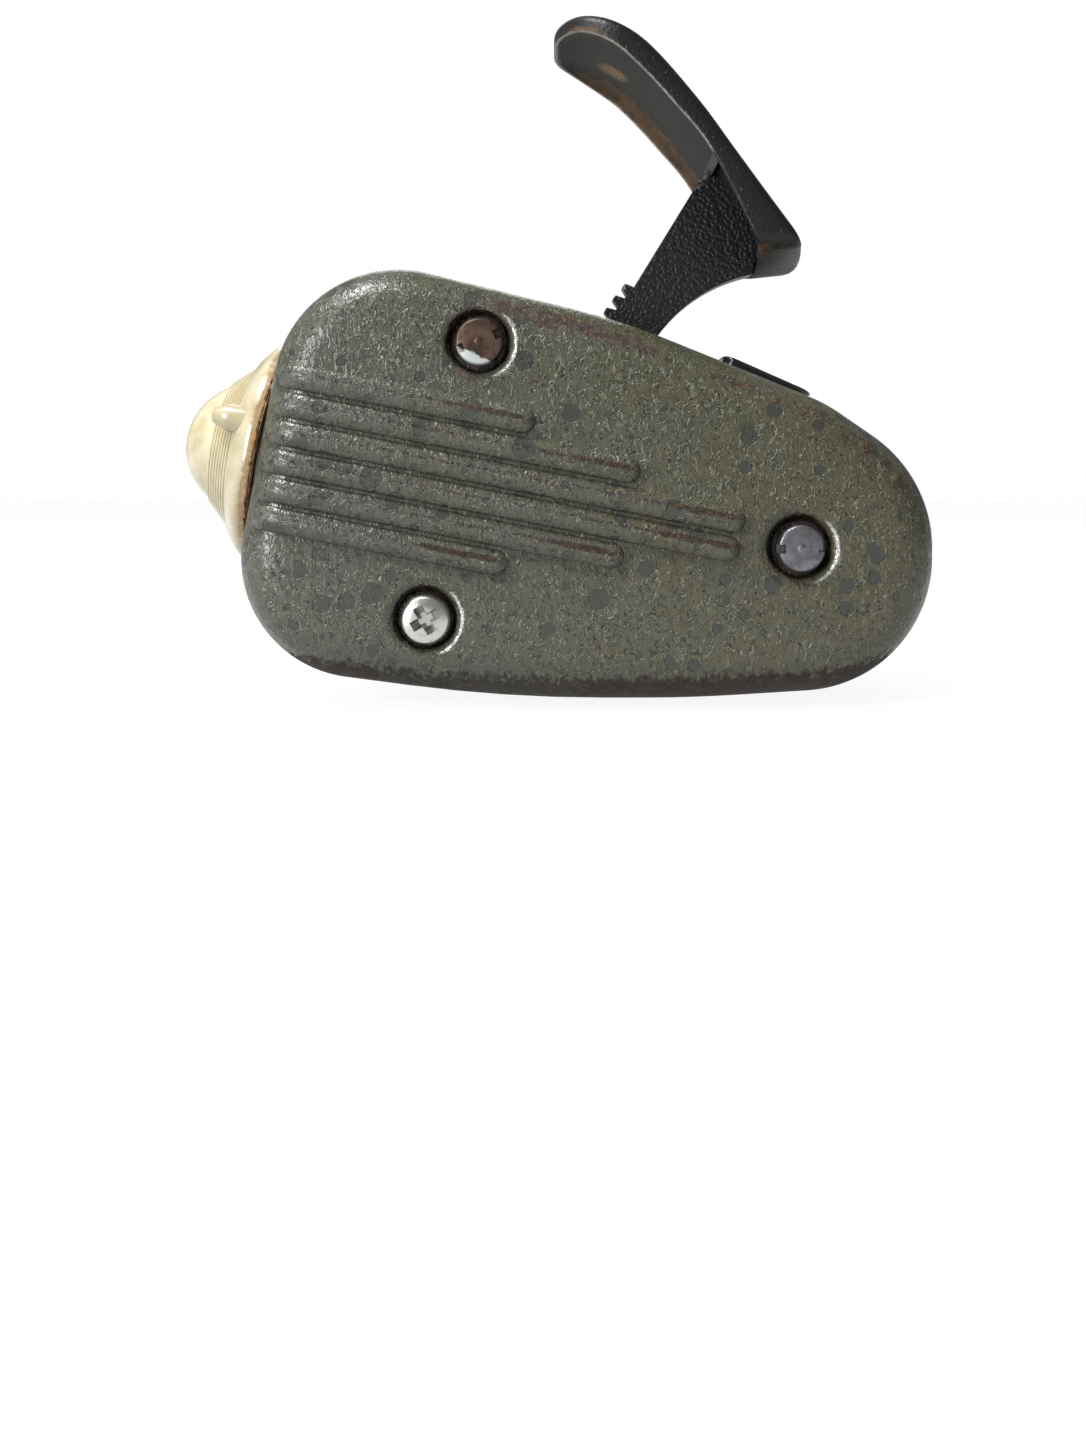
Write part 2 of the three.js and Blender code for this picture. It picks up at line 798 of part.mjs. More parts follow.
function bulbGlass() {
  const centre = -(bulbCapFrom - bulbRadius - bulbWall);
  const low = -(bulbCapFrom - runningFit);
  const ball = (radius, fromAngle) => Array.from({ length: bulbSteps + 1 }, (unused, k) => {
    const angle = fromAngle + (Math.PI / 2 - fromAngle) * k / bulbSteps;
    return [radius * Math.cos(angle), centre + radius * Math.sin(angle)];
  });
  const neckAngle = -Math.acos(bulbNeckRadius / bulbRadius);
  const innerRadius = bulbRadius - bulbWall;
  const innerNeck = bulbNeckRadius - bulbWall;
  return alongLamp(turned([
    [bulbNeckRadius, low],
    ...ball(bulbRadius, neckAngle).slice(0, -1),
    [0, centre + bulbRadius],
    [0, centre + innerRadius],
    ...ball(innerRadius, -Math.acos(innerNeck / innerRadius)).reverse().slice(1),
    [innerNeck, low],
    [bulbNeckRadius, low],
  ], undefined, smallSides));
}

function bulbCap() {
  return alongLamp(turned([
    [0, -bulbCapTo - bulbTipLength],
    [bulbTipRadius, -bulbCapTo - bulbTipLength],
    [bulbTipRadius, -bulbCapTo],
    [bulbCapRadius, -bulbCapTo + bulbTipLength],
    [bulbCapRadius, -bulbCapFrom - fit],
    [0, -bulbCapFrom - fit],
  ]));
}

function lampSocket() {
  const back = -(socketTo - socketBack);
  return alongLamp(turned([
    [0, -socketTo],
    [socketOuterRadius, -socketTo],
    [socketOuterRadius, -socketFrom],
    [socketInnerRadius, -socketFrom],
    [socketInnerRadius, back],
    [0, back],
  ]));
}

function contactSpring() {
  const low = -(socketTo - socketBack) + fit;
  return alongLamp(turned([
    [0, low],
    [contactRadius, low],
    [contactRadius, low + contactThickness],
    [0, low + contactThickness],
  ]));
}

// Gear teeth. Angles are anticlockwise in the side view, in radians
function toothPoints(teeth, size, addendumShare, centreAngle) {
  const pitch = size * teeth / 2;
  const base = pitch * Math.cos(THREE.MathUtils.degToRad(pressureDegrees));
  const tip = pitch + size * addendumShare;
  const root = pitch - size * dedendumShare;
  const involute = (radius) => {
    const angle = Math.acos(Math.min(base / radius, 1));
    return Math.tan(angle) - angle;
  };
  const halfAtPitch = Math.PI / (2 * teeth) - toothThinning / (2 * pitch);
  const halfAt = (radius) => halfAtPitch + involute(pitch) - involute(Math.max(radius, base));
  const radii = root < base * undercutShare ? [root, base, tip] : [root, tip];
  const rising = radii.map((radius) => [radius, centreAngle - halfAt(radius)]);
  const falling = radii.map((radius) => [radius, centreAngle + halfAt(radius)]).reverse();
  return [...rising, ...falling].map(([radius, angle]) => (
    new THREE.Vector2(radius * Math.cos(angle), radius * Math.sin(angle))
  ));
}

function gearShape(teeth, size, addendumShare) {
  const points = [];
  for (let k = 0; k < teeth; k += 1) {
    points.push(...toothPoints(teeth, size, addendumShare, 2 * Math.PI * k / teeth));
  }
  return new THREE.Shape(points);
}

// Turns a body about its shaft so that its tooth zero points at an angle, and puts it on the shaft
function onShaft(geometry, centre, angle) {
  geometry.rotateY(-angle);
  geometry.translate(centre.x, 0, centre.y);
  return geometry;
}

function directionTo(from, to) {
  return Math.atan2(to.y - from.y, to.x - from.x);
}

// Lever: trough-shaped handle, arm, sector and hub in one casting
function handlePoint([x, z]) {
  return new THREE.Vector2(pivot.x + x * handleReach, pivot.y + z * handleReach);
}

function handleCurve(shares) {
  return new THREE.SplineCurve(shares.map(handlePoint)).getSpacedPoints(handleSteps);
}

function shifted(points, distance) {
  return points.map((point, i) => {
    const before = points[Math.max(i - 1, 0)];
    const after = points[Math.min(i + 1, points.length - 1)];
    const direction = after.clone().sub(before).normalize();
    return point.clone().add(new THREE.Vector2(-direction.y, direction.x).multiplyScalar(distance));
  });
}

function handlePlan(margin) {
  const tip = handlePoint(handleBackShares[handleBackShares.length - 1]).x + margin;
  const half = handleHalfWidth - margin;
  const radius = handleTipRadius - margin;
  const tail = pivot.x + handleHalfWidth;
  const plan = new THREE.Shape();
  plan.moveTo(tail, -half);
  plan.lineTo(tail, half);
  plan.lineTo(tip + radius, half);
  plan.absarc(tip + radius, half - radius, radius, Math.PI / 2, Math.PI, false);
  plan.absarc(tip + radius, radius - half, radius, Math.PI, Math.PI * 1.5, false);
  const block = new THREE.ExtrudeGeometry(plan, {
    depth: handleReach,
    bevelEnabled: false,
    curveSegments: handleTipSegments,
  });
  block.translate(0, 0, pivot.y);
  return block;
}

function leverHandle() {
  const back = handleCurve(handleBackShares);
  const edge = handleCurve(handleEdgeShares);
  const band = prism([...back, ...edge.slice().reverse()], -handleHalfWidth, handleHalfWidth);
  const outside = overlap(band, handlePlan(0));
  const tailDirection = back[1].clone().sub(back[0]).normalize();
  const tail = back[0].clone().addScaledVector(tailDirection, handleTailWall);
  const floor = shifted([tail, ...back.slice(1)], handlePlate);
  const mouth = shifted(edge, handleRim + handlePlate);
  const inwards = new THREE.Vector2(-tailDirection.y, tailDirection.x);
  mouth[0].copy(floor[0]).addScaledVector(inwards, handleReach);
  const half = handleHalfWidth - handleRim;
  const trough = overlap(
    prism([...floor, ...mouth.slice().reverse()], -half, half),
    handlePlan(handleRim),
  );
  const wallMiddle = back[0].clone().addScaledVector(tailDirection, crossWallPlace);
  const wall = new THREE.BoxGeometry(handleHalfWidth, 2 * handleHalfWidth, crossWallThickness);
  wall.rotateY(Math.atan2(-tailDirection.x, tailDirection.y) + Math.PI);
  wall.translate(wallMiddle.x, 0, wallMiddle.y);
  return cut(outside, cut(trough, wall));
}

function sectorOutline() {
  const points = [];
  const pitch = 2 * Math.PI / sectorFullTeeth;
  const towardPinion = Math.PI / 2 + THREE.MathUtils.degToRad(pinionDirectionDegrees);
  const first = towardPinion + sectorTeethPastPinion * pitch;
  for (let k = 0; k < sectorTeeth; k += 1) {
    const tooth = toothPoints(sectorFullTeeth, sectorModule, wheelAddendumShare, first - k * pitch);
    points.push(...tooth.reverse().map((point) => point.add(pivot)));
  }
  return points;
}

function leverArm() {
  const backInside = shifted(handleCurve(handleBackShares), handlePlate / 2);
  const arc = [];
  for (let k = 0; k <= innerArcSteps; k += 1) {
    const degrees = innerArcFromDegrees + (spokeTopDegrees - innerArcFromDegrees) * k / innerArcSteps;
    arc.push(fromPivot(innerArcRadius, degrees));
  }
  const web = prism([
    fromPivot(hubRadius / 2, spokeHubLowDegrees),
    ...sectorOutline(),
    handlePoint(armFrontShare),
    backInside[Math.round(armMeetsBackShare * handleSteps)],
    backInside[1],
    backInside[0],
    handlePoint(armHeelShare),
    ...arc,
    fromPivot(hubRadius / 2, spokeHubTopDegrees),
  ], -leverThickness / 2, leverThickness / 2);
  const hubHalf = plateInner - fit;
  const stud = fromPivot(studOrbit, studDegrees);
  return cut(
    join(
      web,
      rod(hubRadius, -hubHalf, hubHalf, pivot),
      rod(studRadius, -leverThickness / 2 - studHeight, 0, stud, smallSides),
      leverHandle(),
    ),
    rod(axleRadius + runningFit, -cutOverrun, cutOverrun, pivot),
  );
}

function leverAxle() {
  return rod(axleRadius, -plateOuter - shaftOverhang, plateOuter + shaftOverhang, pivot);
}

// Lock slide: a thumb plate on the top with a hooked tongue beside the arm
function topLineAt(x) {
  const [from, to] = topEdge;
  return from.z + (to.z - from.z) * (x - from.x) / (to.x - from.x);
}

const topDirection = new THREE.Vector2(
  topEdge[0].x - topEdge[1].x,
  topEdge[0].z - topEdge[1].z,
).normalize();

function lockSlide() {
  const half = slideLength / 2 - slideBevel;
  const side = slideWidth / 2 - slideBevel;
  const corner = slideWidth / 4;
  const plan = new THREE.Shape();
  plan.absarc(half - corner, side - corner, corner, 0, Math.PI / 2, false);
  plan.absarc(corner - half, side - corner, corner, Math.PI / 2, Math.PI, false);
  plan.absarc(corner - half, corner - side, corner, Math.PI, Math.PI * 1.5, false);
  plan.absarc(half - corner, corner - side, corner, Math.PI * 1.5, Math.PI * 2, false);
  const plate = new THREE.ExtrudeGeometry(plan, {
    depth: slideThickness - 2 * slideBevel,
    bevelThickness: slideBevel,
    bevelSize: slideBevel,
    bevelSegments: 1,
    curveSegments: cornerSides,
  });
  plate.translate(0, 0, slideBevel + fit);
  plate.rotateY(Math.atan2(-topDirection.y, topDirection.x));
  const x = pivot.x - slideForwardOfPivot;
  plate.translate(x, 0, topLineAt(x));
  const far = -(leverThickness / 2 + fit);
  const right = pivot.x - tongueBack;
  const left = right - tongueWidth;
  const foot = pivot.y - tongueDrop;
  const tongue = prism([
    new THREE.Vector2(left, topLineAt(left) + fit + slideThickness / 2),
    new THREE.Vector2(left, foot + hookHeight),
    new THREE.Vector2(pivot.x - hookReach, foot + hookHeight),
    new THREE.Vector2(pivot.x - hookReach, foot),
    new THREE.Vector2(right, foot),
    new THREE.Vector2(right, topLineAt(right) + fit + slideThickness / 2),
  ], far - tongueThickness, far);
  return join(plate, tongue);
}

// Frame plates
function plateOutline() {
  const [top, tail, lower] = screwPlaces;
  const [shoulderX, shoulderZ] = plateShoulderShares;
  return beltShape([
    disc(lower, plateCornerRadius),
    disc(tail, plateCornerRadius),
    disc(pivot, hubRadius),
    { x: shoulderX * casingLength, z: shoulderZ * casingHeight, radius: plateShoulderRadius },
    disc(top, plateCornerRadius),
  ]);
}

const bridgeSpacers = bridgeSpacerShares.map(([x, z]) => (
  new THREE.Vector2(x * casingLength, z * casingHeight)
));
const coreSpacers = [-1, 1].map((side) => (
  new THREE.Vector2(rotorCentre.x + side * coreSpacerX, rotorCentre.y + side * coreSpacerZ)
));
const spokeHead = fromPivot(innerArcRadius, spokeTopDegrees);
const spokeFoot = fromPivot(hubRadius / 2, spokeHubTopDegrees);
const spokeRun = spokeFoot.clone().sub(spokeHead).normalize();
const openStop = spokeFoot.clone().lerp(spokeHead, openStopShare).add(
  new THREE.Vector2(-spokeRun.y, spokeRun.x).multiplyScalar(stopPinRadius + fit),
);
const sectorEndDegrees = pinionDirectionDegrees + (sectorTeethPastPinion + 0.5) * 360 / sectorFullTeeth;
const closedStop = fromPivot(
  closedStopOrbit,
  sectorEndDegrees + leverTravelDegrees
    + THREE.MathUtils.radToDeg((stopPinRadius + 2 * fit) / closedStopOrbit),
);

// Plate with holes drilled through it, each given by its radius, centre and sides
function drilled(shape, yLow, yHigh, holes) {
  const tools = holes.map(([radius, centre, sides]) => (
    rod(radius, yLow - cutOverrun, yHigh + cutOverrun, centre, sides)
  ));
  return cut(prism(shape, yLow, yHigh), ...tools);
}

function framePlate(yLow, yHigh, tenons) {
  const socketRoom = alongLamp(rod(socketOuterRadius + fit, -socketTo - fit, -socketFrom));
  return cut(drilled(plateOutline(), yLow, yHigh, [
    ...screwPlaces.map((centre) => [postRadius + runningFit, centre]),
    [axleRadius + runningFit, pivot, smallSides],
    [shaftRadius + runningFit, pinionCentre, smallSides],
    [rotorShaftRadius + fit, rotorCentre, smallSides],
    ...tenons.map((centre) => [tenonRadius + runningFit, centre, smallSides]),
  ]), socketRoom);
}

function nearFramePlate() {
  return framePlate(-plateOuter, -plateInner, [...coreSpacers, openStop, closedStop]);
}

function farFramePlate() {
  const plate = framePlate(plateInner, plateOuter, [...bridgeSpacers, openStop, closedStop]);
  return cut(plate, rod(shaftRadius + runningFit, 0, plateOuter + cutOverrun, idlerCentre, smallSides));
}

function bridgePlate() {
  const radius = spacerRadius + plateThickness;
  const [top, rear, front] = bridgeSpacers;
  const shape = beltShape([
    disc(front, radius),
    disc(rotorCentre, radius),
    disc(rear, radius),
    disc(pinionCentre, radius),
    disc(top, radius),
  ]);
  return drilled(shape, bridgeFrom, bridgeTo, [
    ...bridgeSpacers.map((centre) => [tenonRadius + runningFit, centre, smallSides]),
    [shaftRadius + runningFit, pinionCentre, smallSides],
    [shaftRadius + runningFit, idlerCentre, smallSides],
    [bushRadius + runningFit, rotorCentre, smallSides],
  ]);
}

// Shouldered spacer between two plates, its tenons standing in their holes
function spacer(centre, low, high, lowTenon, highTenon, radius) {
  return turned([
    [0, high + highTenon],
    [tenonRadius, high + highTenon],
    [tenonRadius, high],
    [radius, high],
    [radius, low],
    [tenonRadius, low],
    [tenonRadius, low - lowTenon],
    [0, low - lowTenon],
  ], centre, smallSides);
}

// Gear train
function pinionShaft() {
  const gear = prism(
    gearShape(pinionTeeth, sectorModule, pinionAddendumShare),
    -pinionWidth / 2,
    pinionWidth / 2,
  );
  const shaft = rod(shaftRadius, -plateOuter - shaftOverhang, bridgeTo + shaftOverhang);
  const facing = directionTo(pinionCentre, pivot) + Math.PI / pinionTeeth;
  return onShaft(join(gear, shaft), pinionCentre, facing);
}

function ratchetWheel() {
  const points = [];
  for (let k = 0; k < ratchetTeeth; k += 1) {
    const angle = 2 * Math.PI * k / ratchetTeeth;
    const next = 2 * Math.PI * (k + ratchetCrestShare) / ratchetTeeth;
    const low = ratchetRadius - ratchetToothDepth;
    points.push(new THREE.Vector2(low * Math.cos(angle), low * Math.sin(angle)));
    points.push(new THREE.Vector2(ratchetRadius * Math.cos(next), ratchetRadius * Math.sin(next)));
  }
  const shape = new THREE.Shape(points);
  shape.holes = [circleHole(shaftRadius + runningFit, new THREE.Vector2(), smallSides)];
  return onShaft(prism(shape, ratchetFrom, ratchetFrom + ratchetWidth), pinionCentre, 0);
}

function pawl(index) {
  const start = 2 * Math.PI * index / pawlCount;
  const end = start + THREE.MathUtils.degToRad(pawlSpanDegrees);
  const tipOrbit = ratchetRadius + pawlTipRadius + fit;
  const arm = beltShape([
    {
      x: pawlPivotRadius * Math.cos(start),
      z: pawlPivotRadius * Math.sin(start),
      radius: pawlEyeRadius,
    },
    { x: tipOrbit * Math.cos(end), z: tipOrbit * Math.sin(end), radius: pawlTipRadius },
  ]);
  return onShaft(prism(arm, ratchetFrom, ratchetFrom + ratchetWidth), pinionCentre, 0);
}

function driveWheel() {
  const shape = gearShape(driveTeeth, fineModule, wheelAddendumShare);
  shape.holes = [circleHole(shaftRadius + runningFit, new THREE.Vector2(), smallSides)];
  const facing = directionTo(pinionCentre, idlerCentre);
  return onShaft(prism(shape, driveFrom, driveFrom + wheelWidth), pinionCentre, facing);
}

function idlerShaft() {
  const gear = prism(
    gearShape(idlerPinionTeeth, fineModule, pinionAddendumShare),
    driveFrom,
    driveFrom + wheelWidth,
  );
  const shaft = rod(shaftRadius, plateInner + fit, bridgeTo + shaftOverhang);
  const facing = directionTo(idlerCentre, pinionCentre) + Math.PI / idlerPinionTeeth;
  return onShaft(join(gear, shaft), idlerCentre, facing);
}

function idlerWheel() {
  const shape = gearShape(idlerWheelTeeth, fineModule, wheelAddendumShare);
  shape.holes = [circleHole(shaftRadius + runningFit, new THREE.Vector2(), smallSides)];
  const facing = directionTo(idlerCentre, rotorCentre);
  return onShaft(prism(shape, idlerWheelFrom, idlerWheelFrom + wheelWidth), idlerCentre, facing);
}

function rotorShaft() {
  const gear = prism(
    gearShape(rotorPinionTeeth, fineModule, pinionAddendumShare),
    idlerWheelFrom,
    idlerWheelFrom + wheelWidth,
  );
  const shaft = rod(rotorShaftRadius, bracketNear - shaftOverhang, bridgeTo + shaftOverhang);
  const facing = directionTo(rotorCentre, idlerCentre) + Math.PI / rotorPinionTeeth;
  return onShaft(join(gear, shaft), rotorCentre, facing);
}

function rotorMagnet() {
  const middle = (coreNear + coreFar) / 2;
  const bore = rotorShaftRadius + runningFit;
  return turned([
    [bore, middle - magnetLength / 2],
    [magnetRadius, middle - magnetLength / 2],
    [magnetRadius, middle + magnetLength / 2],
    [bore, middle + magnetLength / 2],
    [bore, middle - magnetLength / 2],
  ], rotorCentre);
}

function rotorBush(plateLow, plateHigh, flangeSide) {
  const bore = rotorShaftRadius + runningFit;
  const flangeLow = flangeSide > 0 ? plateHigh + fit : plateLow - fit - bushFlangeThickness;
  const flangeHigh = flangeLow + bushFlangeThickness;
  const low = Math.min(plateLow, flangeLow);
  const high = Math.max(plateHigh, flangeHigh);
  const sleeve = rod(bushRadius, low, high, rotorCentre, smallSides);
  const flange = rod(bushFlange, flangeLow, flangeHigh, rotorCentre, smallSides);
  const hole = rod(bore, low - cutOverrun, high + cutOverrun, rotorCentre, smallSides);
  return cut(join(sleeve, flange), hole);
}

// Laminated core: a loop with the rotor bore at the front and the coil leg at the back
function statorCore() {
  const { x, y: z } = rotorCentre;
  const outline = [
    new THREE.Vector2(x - coreFront, z - coreHalfHeight),
    new THREE.Vector2(x + coreBack, z - coreHalfHeight),
    new THREE.Vector2(x + coreBack, z + coreHalfHeight),
    new THREE.Vector2(x - coreFront, z + coreHalfHeight),
  ];
  const block = prism(outline, coreNear, coreFar);
  const box = (left, right, half) => prism([
    new THREE.Vector2(left, z - half),
    new THREE.Vector2(right, z - half),
    new THREE.Vector2(right, z + half),
    new THREE.Vector2(left, z + half),
  ], coreNear - cutOverrun, coreFar + cutOverrun);
  const through = [coreNear - cutOverrun, coreFar + cutOverrun];
  return cut(
    block,
    rod(magnetRadius + poleGap, ...through, rotorCentre, lampSides),
    box(x - coreFront - cutOverrun, x + windowStart, poleSlot / 2),
    box(x + windowStart, x + coreBack - coreArmDepth, windowHalfHeight),
    ...coreSpacers.map((centre) => rod(tenonRadius + runningFit, ...through, centre, smallSides)),
  );
}

// Coil wound round the back leg of the core
function statorCoil() {
  const left = rotorCentre.x + coreBack - coreArmDepth - coilClearance;
  const right = rotorCentre.x + coreBack + coilClearance;
  const near = coreNear - coilClearance;
  const far = coreFar + coilClearance;
  const half = windowHalfHeight - coilClearance;
  const section = new THREE.Shape([
    new THREE.Vector2(left - coilThickness, near - coilThickness),
    new THREE.Vector2(right + coilThickness, near - coilThickness),
    new THREE.Vector2(right + coilThickness, far + coilThickness),
    new THREE.Vector2(left - coilThickness, far + coilThickness),
  ]);
  section.holes = [new THREE.Path([
    new THREE.Vector2(left, near),
    new THREE.Vector2(left, far),
    new THREE.Vector2(right, far),
    new THREE.Vector2(right, near),
  ])];
  const coil = new THREE.ExtrudeGeometry(section, { depth: 2 * half, bevelEnabled: false });
  coil.translate(0, 0, rotorCentre.y - half);
  return coil;
}

// Bar that carries the near bush of the rotor
function rotorBracket() {
  const radius = spacerRadius + bracketThickness;
  const shape = beltShape([
    disc(coreSpacers[0], radius),
    { x: rotorCentre.x, z: rotorCentre.y, radius: bushFlange + bracketThickness },
    disc(coreSpacers[1], radius),
    { x: rotorCentre.x, z: rotorCentre.y, radius: bushFlange + bracketThickness },
  ].slice(0, 3));
  shape.holes = [
    ...coreSpacers.map((centre) => circleHole(tenonRadius + runningFit, centre, smallSides)),
    circleHole(bushRadius + runningFit, rotorCentre, smallSides),
  ];
  return prism(shape, bracketNear, bracketFar);
}

// Torsion spring: coils round the tail post and a leg under the spoke
class SpringPath extends THREE.Curve {
  getPoint(share, target = new THREE.Vector3()) {
    const centre = screwPlaces[1];
    const legTip = fromPivot(springLegOrbit, sectorEndDegrees + springLegDrop);
    const legDirection = directionTo(centre, legTip);
    if (share <= springCoilShare) {
      const done = share / springCoilShare;
      const angle = legDirection - Math.PI / 2 - 2 * Math.PI * springTurns * (1 - done);
      return target.set(
        centre.x + springCoilRadius * Math.cos(angle),
        springPitch * springTurns * (done - 0.5),
        centre.y + springCoilRadius * Math.sin(angle),
      );
    }
    const legLength = centre.distanceTo(legTip) - springCoilRadius;
    const out = legLength * (share - springCoilShare) / (1 - springCoilShare);
    const startX = centre.x + springCoilRadius * Math.cos(legDirection - Math.PI / 2);
    const startZ = centre.y + springCoilRadius * Math.sin(legDirection - Math.PI / 2);
    return target.set(
      startX + out * Math.cos(legDirection),
      springPitch * springTurns / 2,
      startZ + out * Math.sin(legDirection),
    );
  }
}

function tube(path, radius, steps, sides) {
  const section = new THREE.Shape();
  for (let k = 0; k < sides; k += 1) {
    const angle = 2 * Math.PI * k / sides;
    const point = [radius * Math.cos(angle), radius * Math.sin(angle)];
    if (k === 0) section.moveTo(...point);
    else section.lineTo(...point);
  }
  return new THREE.ExtrudeGeometry(section, { steps, bevelEnabled: false, extrudePath: path });
}

function leverReturnSpring() {
  return tube(new SpringPath(), springWire, (springTurns + 1) * springStepsPerTurn, springSides);
}

function lampLead() {
  const start = new THREE.Vector3(
    rotorCentre.x + coreBack - coreArmDepth / 2,
    coreNear,
    rotorCentre.y + coreHalfHeight + fit + leadRadius,
  );
  const end = lampPoint(socketFrom + bulbCapLength / 2, 0);
  const side = -(socketOuterRadius + fit);
  const over = rotorCentre.y + coreHalfHeight + dishDepth + leadRadius;
  const route = new THREE.CatmullRomCurve3([
    start,
    new THREE.Vector3(start.x - coreArmDepth, start.y, over),
    new THREE.Vector3(rotorCentre.x, start.y, over),
    new THREE.Vector3(rotorCentre.x - coreFront, start.y, over),
    new THREE.Vector3(end.x + socketOuterRadius, side - socketOuterRadius, end.y),
    new THREE.Vector3(end.x, side - socketWall, end.y),
  ]);
  return tube(route, leadRadius, leadSteps, leadSides);
}

// Finishes
const enamel = [0x6b6c5b, 0.5, 0.3];
const cream = [0xd9cfae, 0.45, 0];
const blackPaint = [0x1d1d1e, 0.5, 0.2];
const blackGloss = [0x121213, 0.25, 0.1];
const zinc = [0xa9aaa8, 0.4, 1];
const rustyZinc = [0x5a4234, 0.6, 0.7];
const steel = [0x8d8f90, 0.4, 1];
const brass = [0xb08d4a, 0.35, 1];
const mirror = [0xd8d8d6, 0.1, 1];
const glass = [0xe8eef0, 0.05, 0];
const sealant = [0x8a5a34, 0.9, 0];
const copperWire = [0x8c4a26, 0.4, 0.8];
const magnetGrey = [0x4a4a4c, 0.6, 0.4];
const laminations = [0x55575a, 0.55, 0.8];
const leadCloth = [0x7a2f26, 0.8, 0];

const flashlight = new THREE.Group();

function add(name, geometry, [color, roughness, metalness]) {
  const mesh = new THREE.Mesh(geometry, new THREE.MeshStandardMaterial({ color, roughness, metalness }));
  mesh.name = name;
  flashlight.add(mesh);
}

add('near_casing_half', nearCasingHalf(), enamel);
add('far_casing_half', farCasingHalf(), enamel);
add('top_casing_screw', notchedScrew(screwPlaces[0], 21), rustyZinc);
add('tail_casing_screw', notchedScrew(screwPlaces[1], 2), zinc);
add('lower_casing_screw', crossScrew(screwPlaces[2], 30), zinc);
['top', 'tail', 'lower'].forEach((name, i) => add(`${name}_screw_post`, screwPost(screwPlaces[i]), steel));
add('lens', lens(), cream);
add('lens_seal', lensSeal(), sealant);
add('reflector', reflector(), mirror);
add('bulb_glass', bulbGlass(), glass);
add('bulb_cap', bulbCap(), brass);
add('lamp_socket', lampSocket(), brass);
add('contact_spring', contactSpring(), brass);
add('lamp_lead', lampLead(), leadCloth);
add('squeeze_lever', leverArm(), blackPaint);
add('lever_axle', leverAxle(), steel);
add('lever_return_spring', leverReturnSpring(), steel);
add('lock_slide', lockSlide(), blackGloss);
add('near_frame_plate', nearFramePlate(), steel);
add('far_frame_plate', farFramePlate(), steel);
add('open_stop_pin', spacer(
  openStop, -plateInner + fit / 2, plateInner - fit / 2, plateThickness, plateThickness, stopPinRadius,
), steel);
add('closed_stop_pin', spacer(
  closedStop, -plateInner + fit / 2, plateInner - fit / 2, plateThickness, plateThickness, stopPinRadius,
), steel);
add('bridge_plate', bridgePlate(), steel);
bridgeSpacers.forEach((centre, i) => add(`bridge_spacer_${i + 1}`, spacer(
  centre, plateOuter + fit / 2, bridgeFrom - fit / 2, plateThickness, bridgeThickness, spacerRadius,
), steel));
add('pinion_shaft', pinionShaft(), steel);
add('ratchet_wheel', ratchetWheel(), steel);
add('drive_wheel', driveWheel(), brass);
for (let i = 0; i < pawlCount; i += 1) add(`pawl_${i + 1}`, pawl(i), steel);
add('idler_shaft', idlerShaft(), steel);
add('idler_wheel', idlerWheel(), brass);
add('rotor_shaft', rotorShaft(), steel);
add('rotor_magnet', rotorMagnet(), magnetGrey);
add('far_rotor_bush', rotorBush(bridgeFrom, bridgeTo, 1), brass);
add('near_rotor_bush', rotorBush(bracketNear, bracketFar, 1), brass);
add('stator_core', statorCore(), laminations);
add('stator_coil', statorCoil(), copperWire);
add('rotor_bracket', rotorBracket(), steel);
coreSpacers.forEach((centre, i) => add(`core_spacer_${i + 1}`, turned([
  [0, -plateOuter + plateThickness],
  [tenonRadius, -plateOuter + plateThickness],
  [tenonRadius, -plateOuter - fit / 2],
  [spacerRadius, -plateOuter - fit / 2],
  [spacerRadius, coreFar + fit],
  [tenonRadius, coreFar + fit],
  [tenonRadius, coreNear - fit],
  [spacerRadius, coreNear - fit],
  [spacerRadius, bracketFar + fit],
  [tenonRadius, bracketFar + fit],
  [tenonRadius, bracketNear],
  [0, bracketNear],
], centre, smallSides), steel));

export default flashlight;
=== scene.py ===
"""Squeeze dynamo flashlight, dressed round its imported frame.

Shapes are worked out in millimetres and turned to metres where a mesh is made.
+X runs to the tail, +Z up, and the casing seam lies near the plane y = 0.
"""
import math

import bmesh
import bpy
from mathutils import Matrix, Vector, kdtree, noise
from mathutils.geometry import delaunay_2d_cdt


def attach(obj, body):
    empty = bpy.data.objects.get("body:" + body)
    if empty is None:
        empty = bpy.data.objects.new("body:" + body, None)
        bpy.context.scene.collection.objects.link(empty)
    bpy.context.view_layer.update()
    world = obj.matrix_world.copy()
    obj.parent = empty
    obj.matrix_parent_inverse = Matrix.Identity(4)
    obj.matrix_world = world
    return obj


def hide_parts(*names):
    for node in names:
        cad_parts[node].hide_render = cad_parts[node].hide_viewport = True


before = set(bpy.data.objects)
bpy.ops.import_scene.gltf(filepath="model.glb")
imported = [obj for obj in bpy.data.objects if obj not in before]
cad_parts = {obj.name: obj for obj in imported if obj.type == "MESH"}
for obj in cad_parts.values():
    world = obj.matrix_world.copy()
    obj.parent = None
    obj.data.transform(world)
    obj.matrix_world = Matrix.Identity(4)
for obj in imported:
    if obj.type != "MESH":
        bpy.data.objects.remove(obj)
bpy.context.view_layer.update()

MM = 0.001
SMOOTH_DEGREES = 35
SQUARE = ((-1, -1), (1, -1), (1, 1), (-1, 1))

